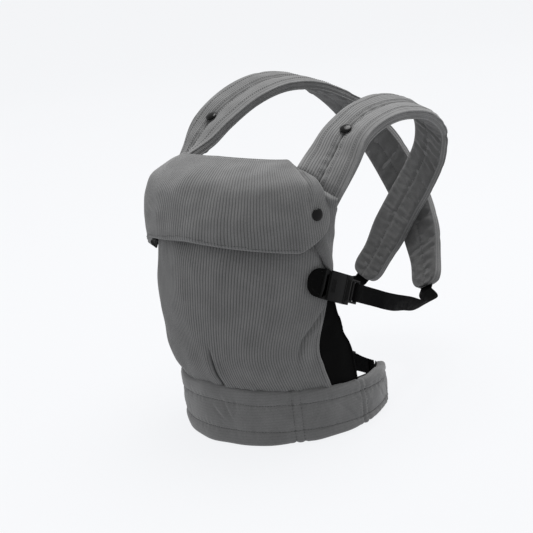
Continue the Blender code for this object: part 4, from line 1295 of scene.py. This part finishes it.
# ---- stage --------------------------------------------------------------------------------
def build_stage():
    """Plain pale floor that rises to a far wall all round."""
    profile = [(0.0, 0.0), (1.2, 0.0), (2.6, 0.0), (3.4, 0.12), (4.2, 0.7), (4.8, 1.8), (5.0, 3.4)]
    profile = spline(profile, 40)
    steps = 96
    turn = np.linspace(0, 2 * math.pi, steps, endpoint=False)
    radius = np.maximum(profile[:, 0], 0.001)
    low = min(CAD_BOX[0][2], 0.0)
    points = np.stack((radius[:, None] * np.cos(turn), radius[:, None] * np.sin(turn),
                       np.broadcast_to(np.maximum(profile[:, 1:], 0.0) + low, (40, steps))), -1)
    index = np.arange(40 * steps).reshape(40, steps)
    mesh = bpy.data.meshes.new("studio_floor")
    around = grid_faces(np.hstack((index, index[:, :1])))
    mesh.from_pydata(points.reshape(-1, 3).tolist(), [], around)
    mesh.shade_smooth()
    floor = bpy.data.objects.new("studio_floor", mesh)
    bpy.context.scene.collection.objects.link(floor)
    n = Nodes("studio_paper", 0.9, specular=0.2)
    place = n.node("ShaderNodeTexCoord").outputs["Object"]
    grain = n.noise(place, 700.0, 2.0)
    colour = n.mix(n.remap(grain, 0.3, 0.7, 0.0, 1.0), (0.032, 0.032, 0.033, 1),
                   (0.038, 0.038, 0.039, 1))
    n.shader.inputs["Emission Color"].default_value = (0.895, 0.904, 0.922, 1.0)
    n.shader.inputs["Emission Strength"].default_value = 0.955
    mesh.materials.append(n.finish(colour, n.bump(grain, 0.05, 0.0003)))


def add_area(name, place, target, size, power, colour=(1.0, 1.0, 1.0)):
    data = bpy.data.lights.new(name, "AREA")
    data.shape = "DISK"
    data.size = size
    data.energy = power
    data.color = colour
    lamp = bpy.data.objects.new(name, data)
    bpy.context.scene.collection.objects.link(lamp)
    lamp.location = place
    lamp.rotation_euler = (Vector(target) - Vector(place)).to_track_quat("-Z", "Y").to_euler()


def build_light():
    scene = bpy.context.scene
    scene.view_settings.view_transform = "Standard"
    world_light = bpy.data.worlds.new("studio")
    scene.world = world_light
    world_light.use_nodes = True
    background = world_light.node_tree.nodes["Background"]
    background.inputs["Color"].default_value = (1.0, 1.0, 1.0, 1.0)
    background.inputs["Strength"].default_value = 0.9
    add_area("top_softbox", (0.0, 0.55, 2.2), (0, 0, 0.3), 1.5, 62.0)
    add_area("side_softbox", (-1.9, -1.6, 1.5), (0, 0, 0.2), 1.6, 6.0)


def build_camera():
    """The viewing angle: 46 degrees to the left side, 16 above, rolled a little."""
    azimuth, elevation, roll = (math.radians(v) for v in (46.0, 15.97, 7.2256))
    distance = 1.7
    target = np.array((-0.0037128, -0.0038448 + CENTRE_Y * MM, 0.1945699))
    back = np.array((math.sin(azimuth) * math.cos(elevation),
                     -math.cos(azimuth) * math.cos(elevation), math.sin(elevation)))
    right = np.array((math.cos(azimuth), math.sin(azimuth), 0.0))
    up = np.cross(back, right)
    turned = right * math.cos(roll) - up * math.sin(roll)
    above = up * math.cos(roll) + right * math.sin(roll)
    data = bpy.data.cameras.new("camera")
    data.lens = 88.941
    data.sensor_width = 36.0
    camera = bpy.data.objects.new("camera", data)
    bpy.context.scene.collection.objects.link(camera)
    turn = Matrix([turned, above, back]).transposed().to_4x4()
    camera.matrix_world = Matrix.Translation(target + back * distance) @ turn
    bpy.context.scene.camera = camera


build_camera()
build_stage()
build_light()
build_waistband()
panel_middle, panel_normal = build_panel()
build_flap(panel_middle, panel_normal)
for strap_name, strap_side in (("left", 1), ("right", -1)):
    build_gusset(f"side_gusset_{strap_name}", strap_side)
    build_strap(strap_name, strap_side)
    build_wing(strap_name, strap_side)
    build_side(strap_name, strap_side)
    build_stud(f"head_snap_{strap_name}", "head_support")
    build_stud(f"strap_snap_{strap_name}", "carrier")
build_waist()
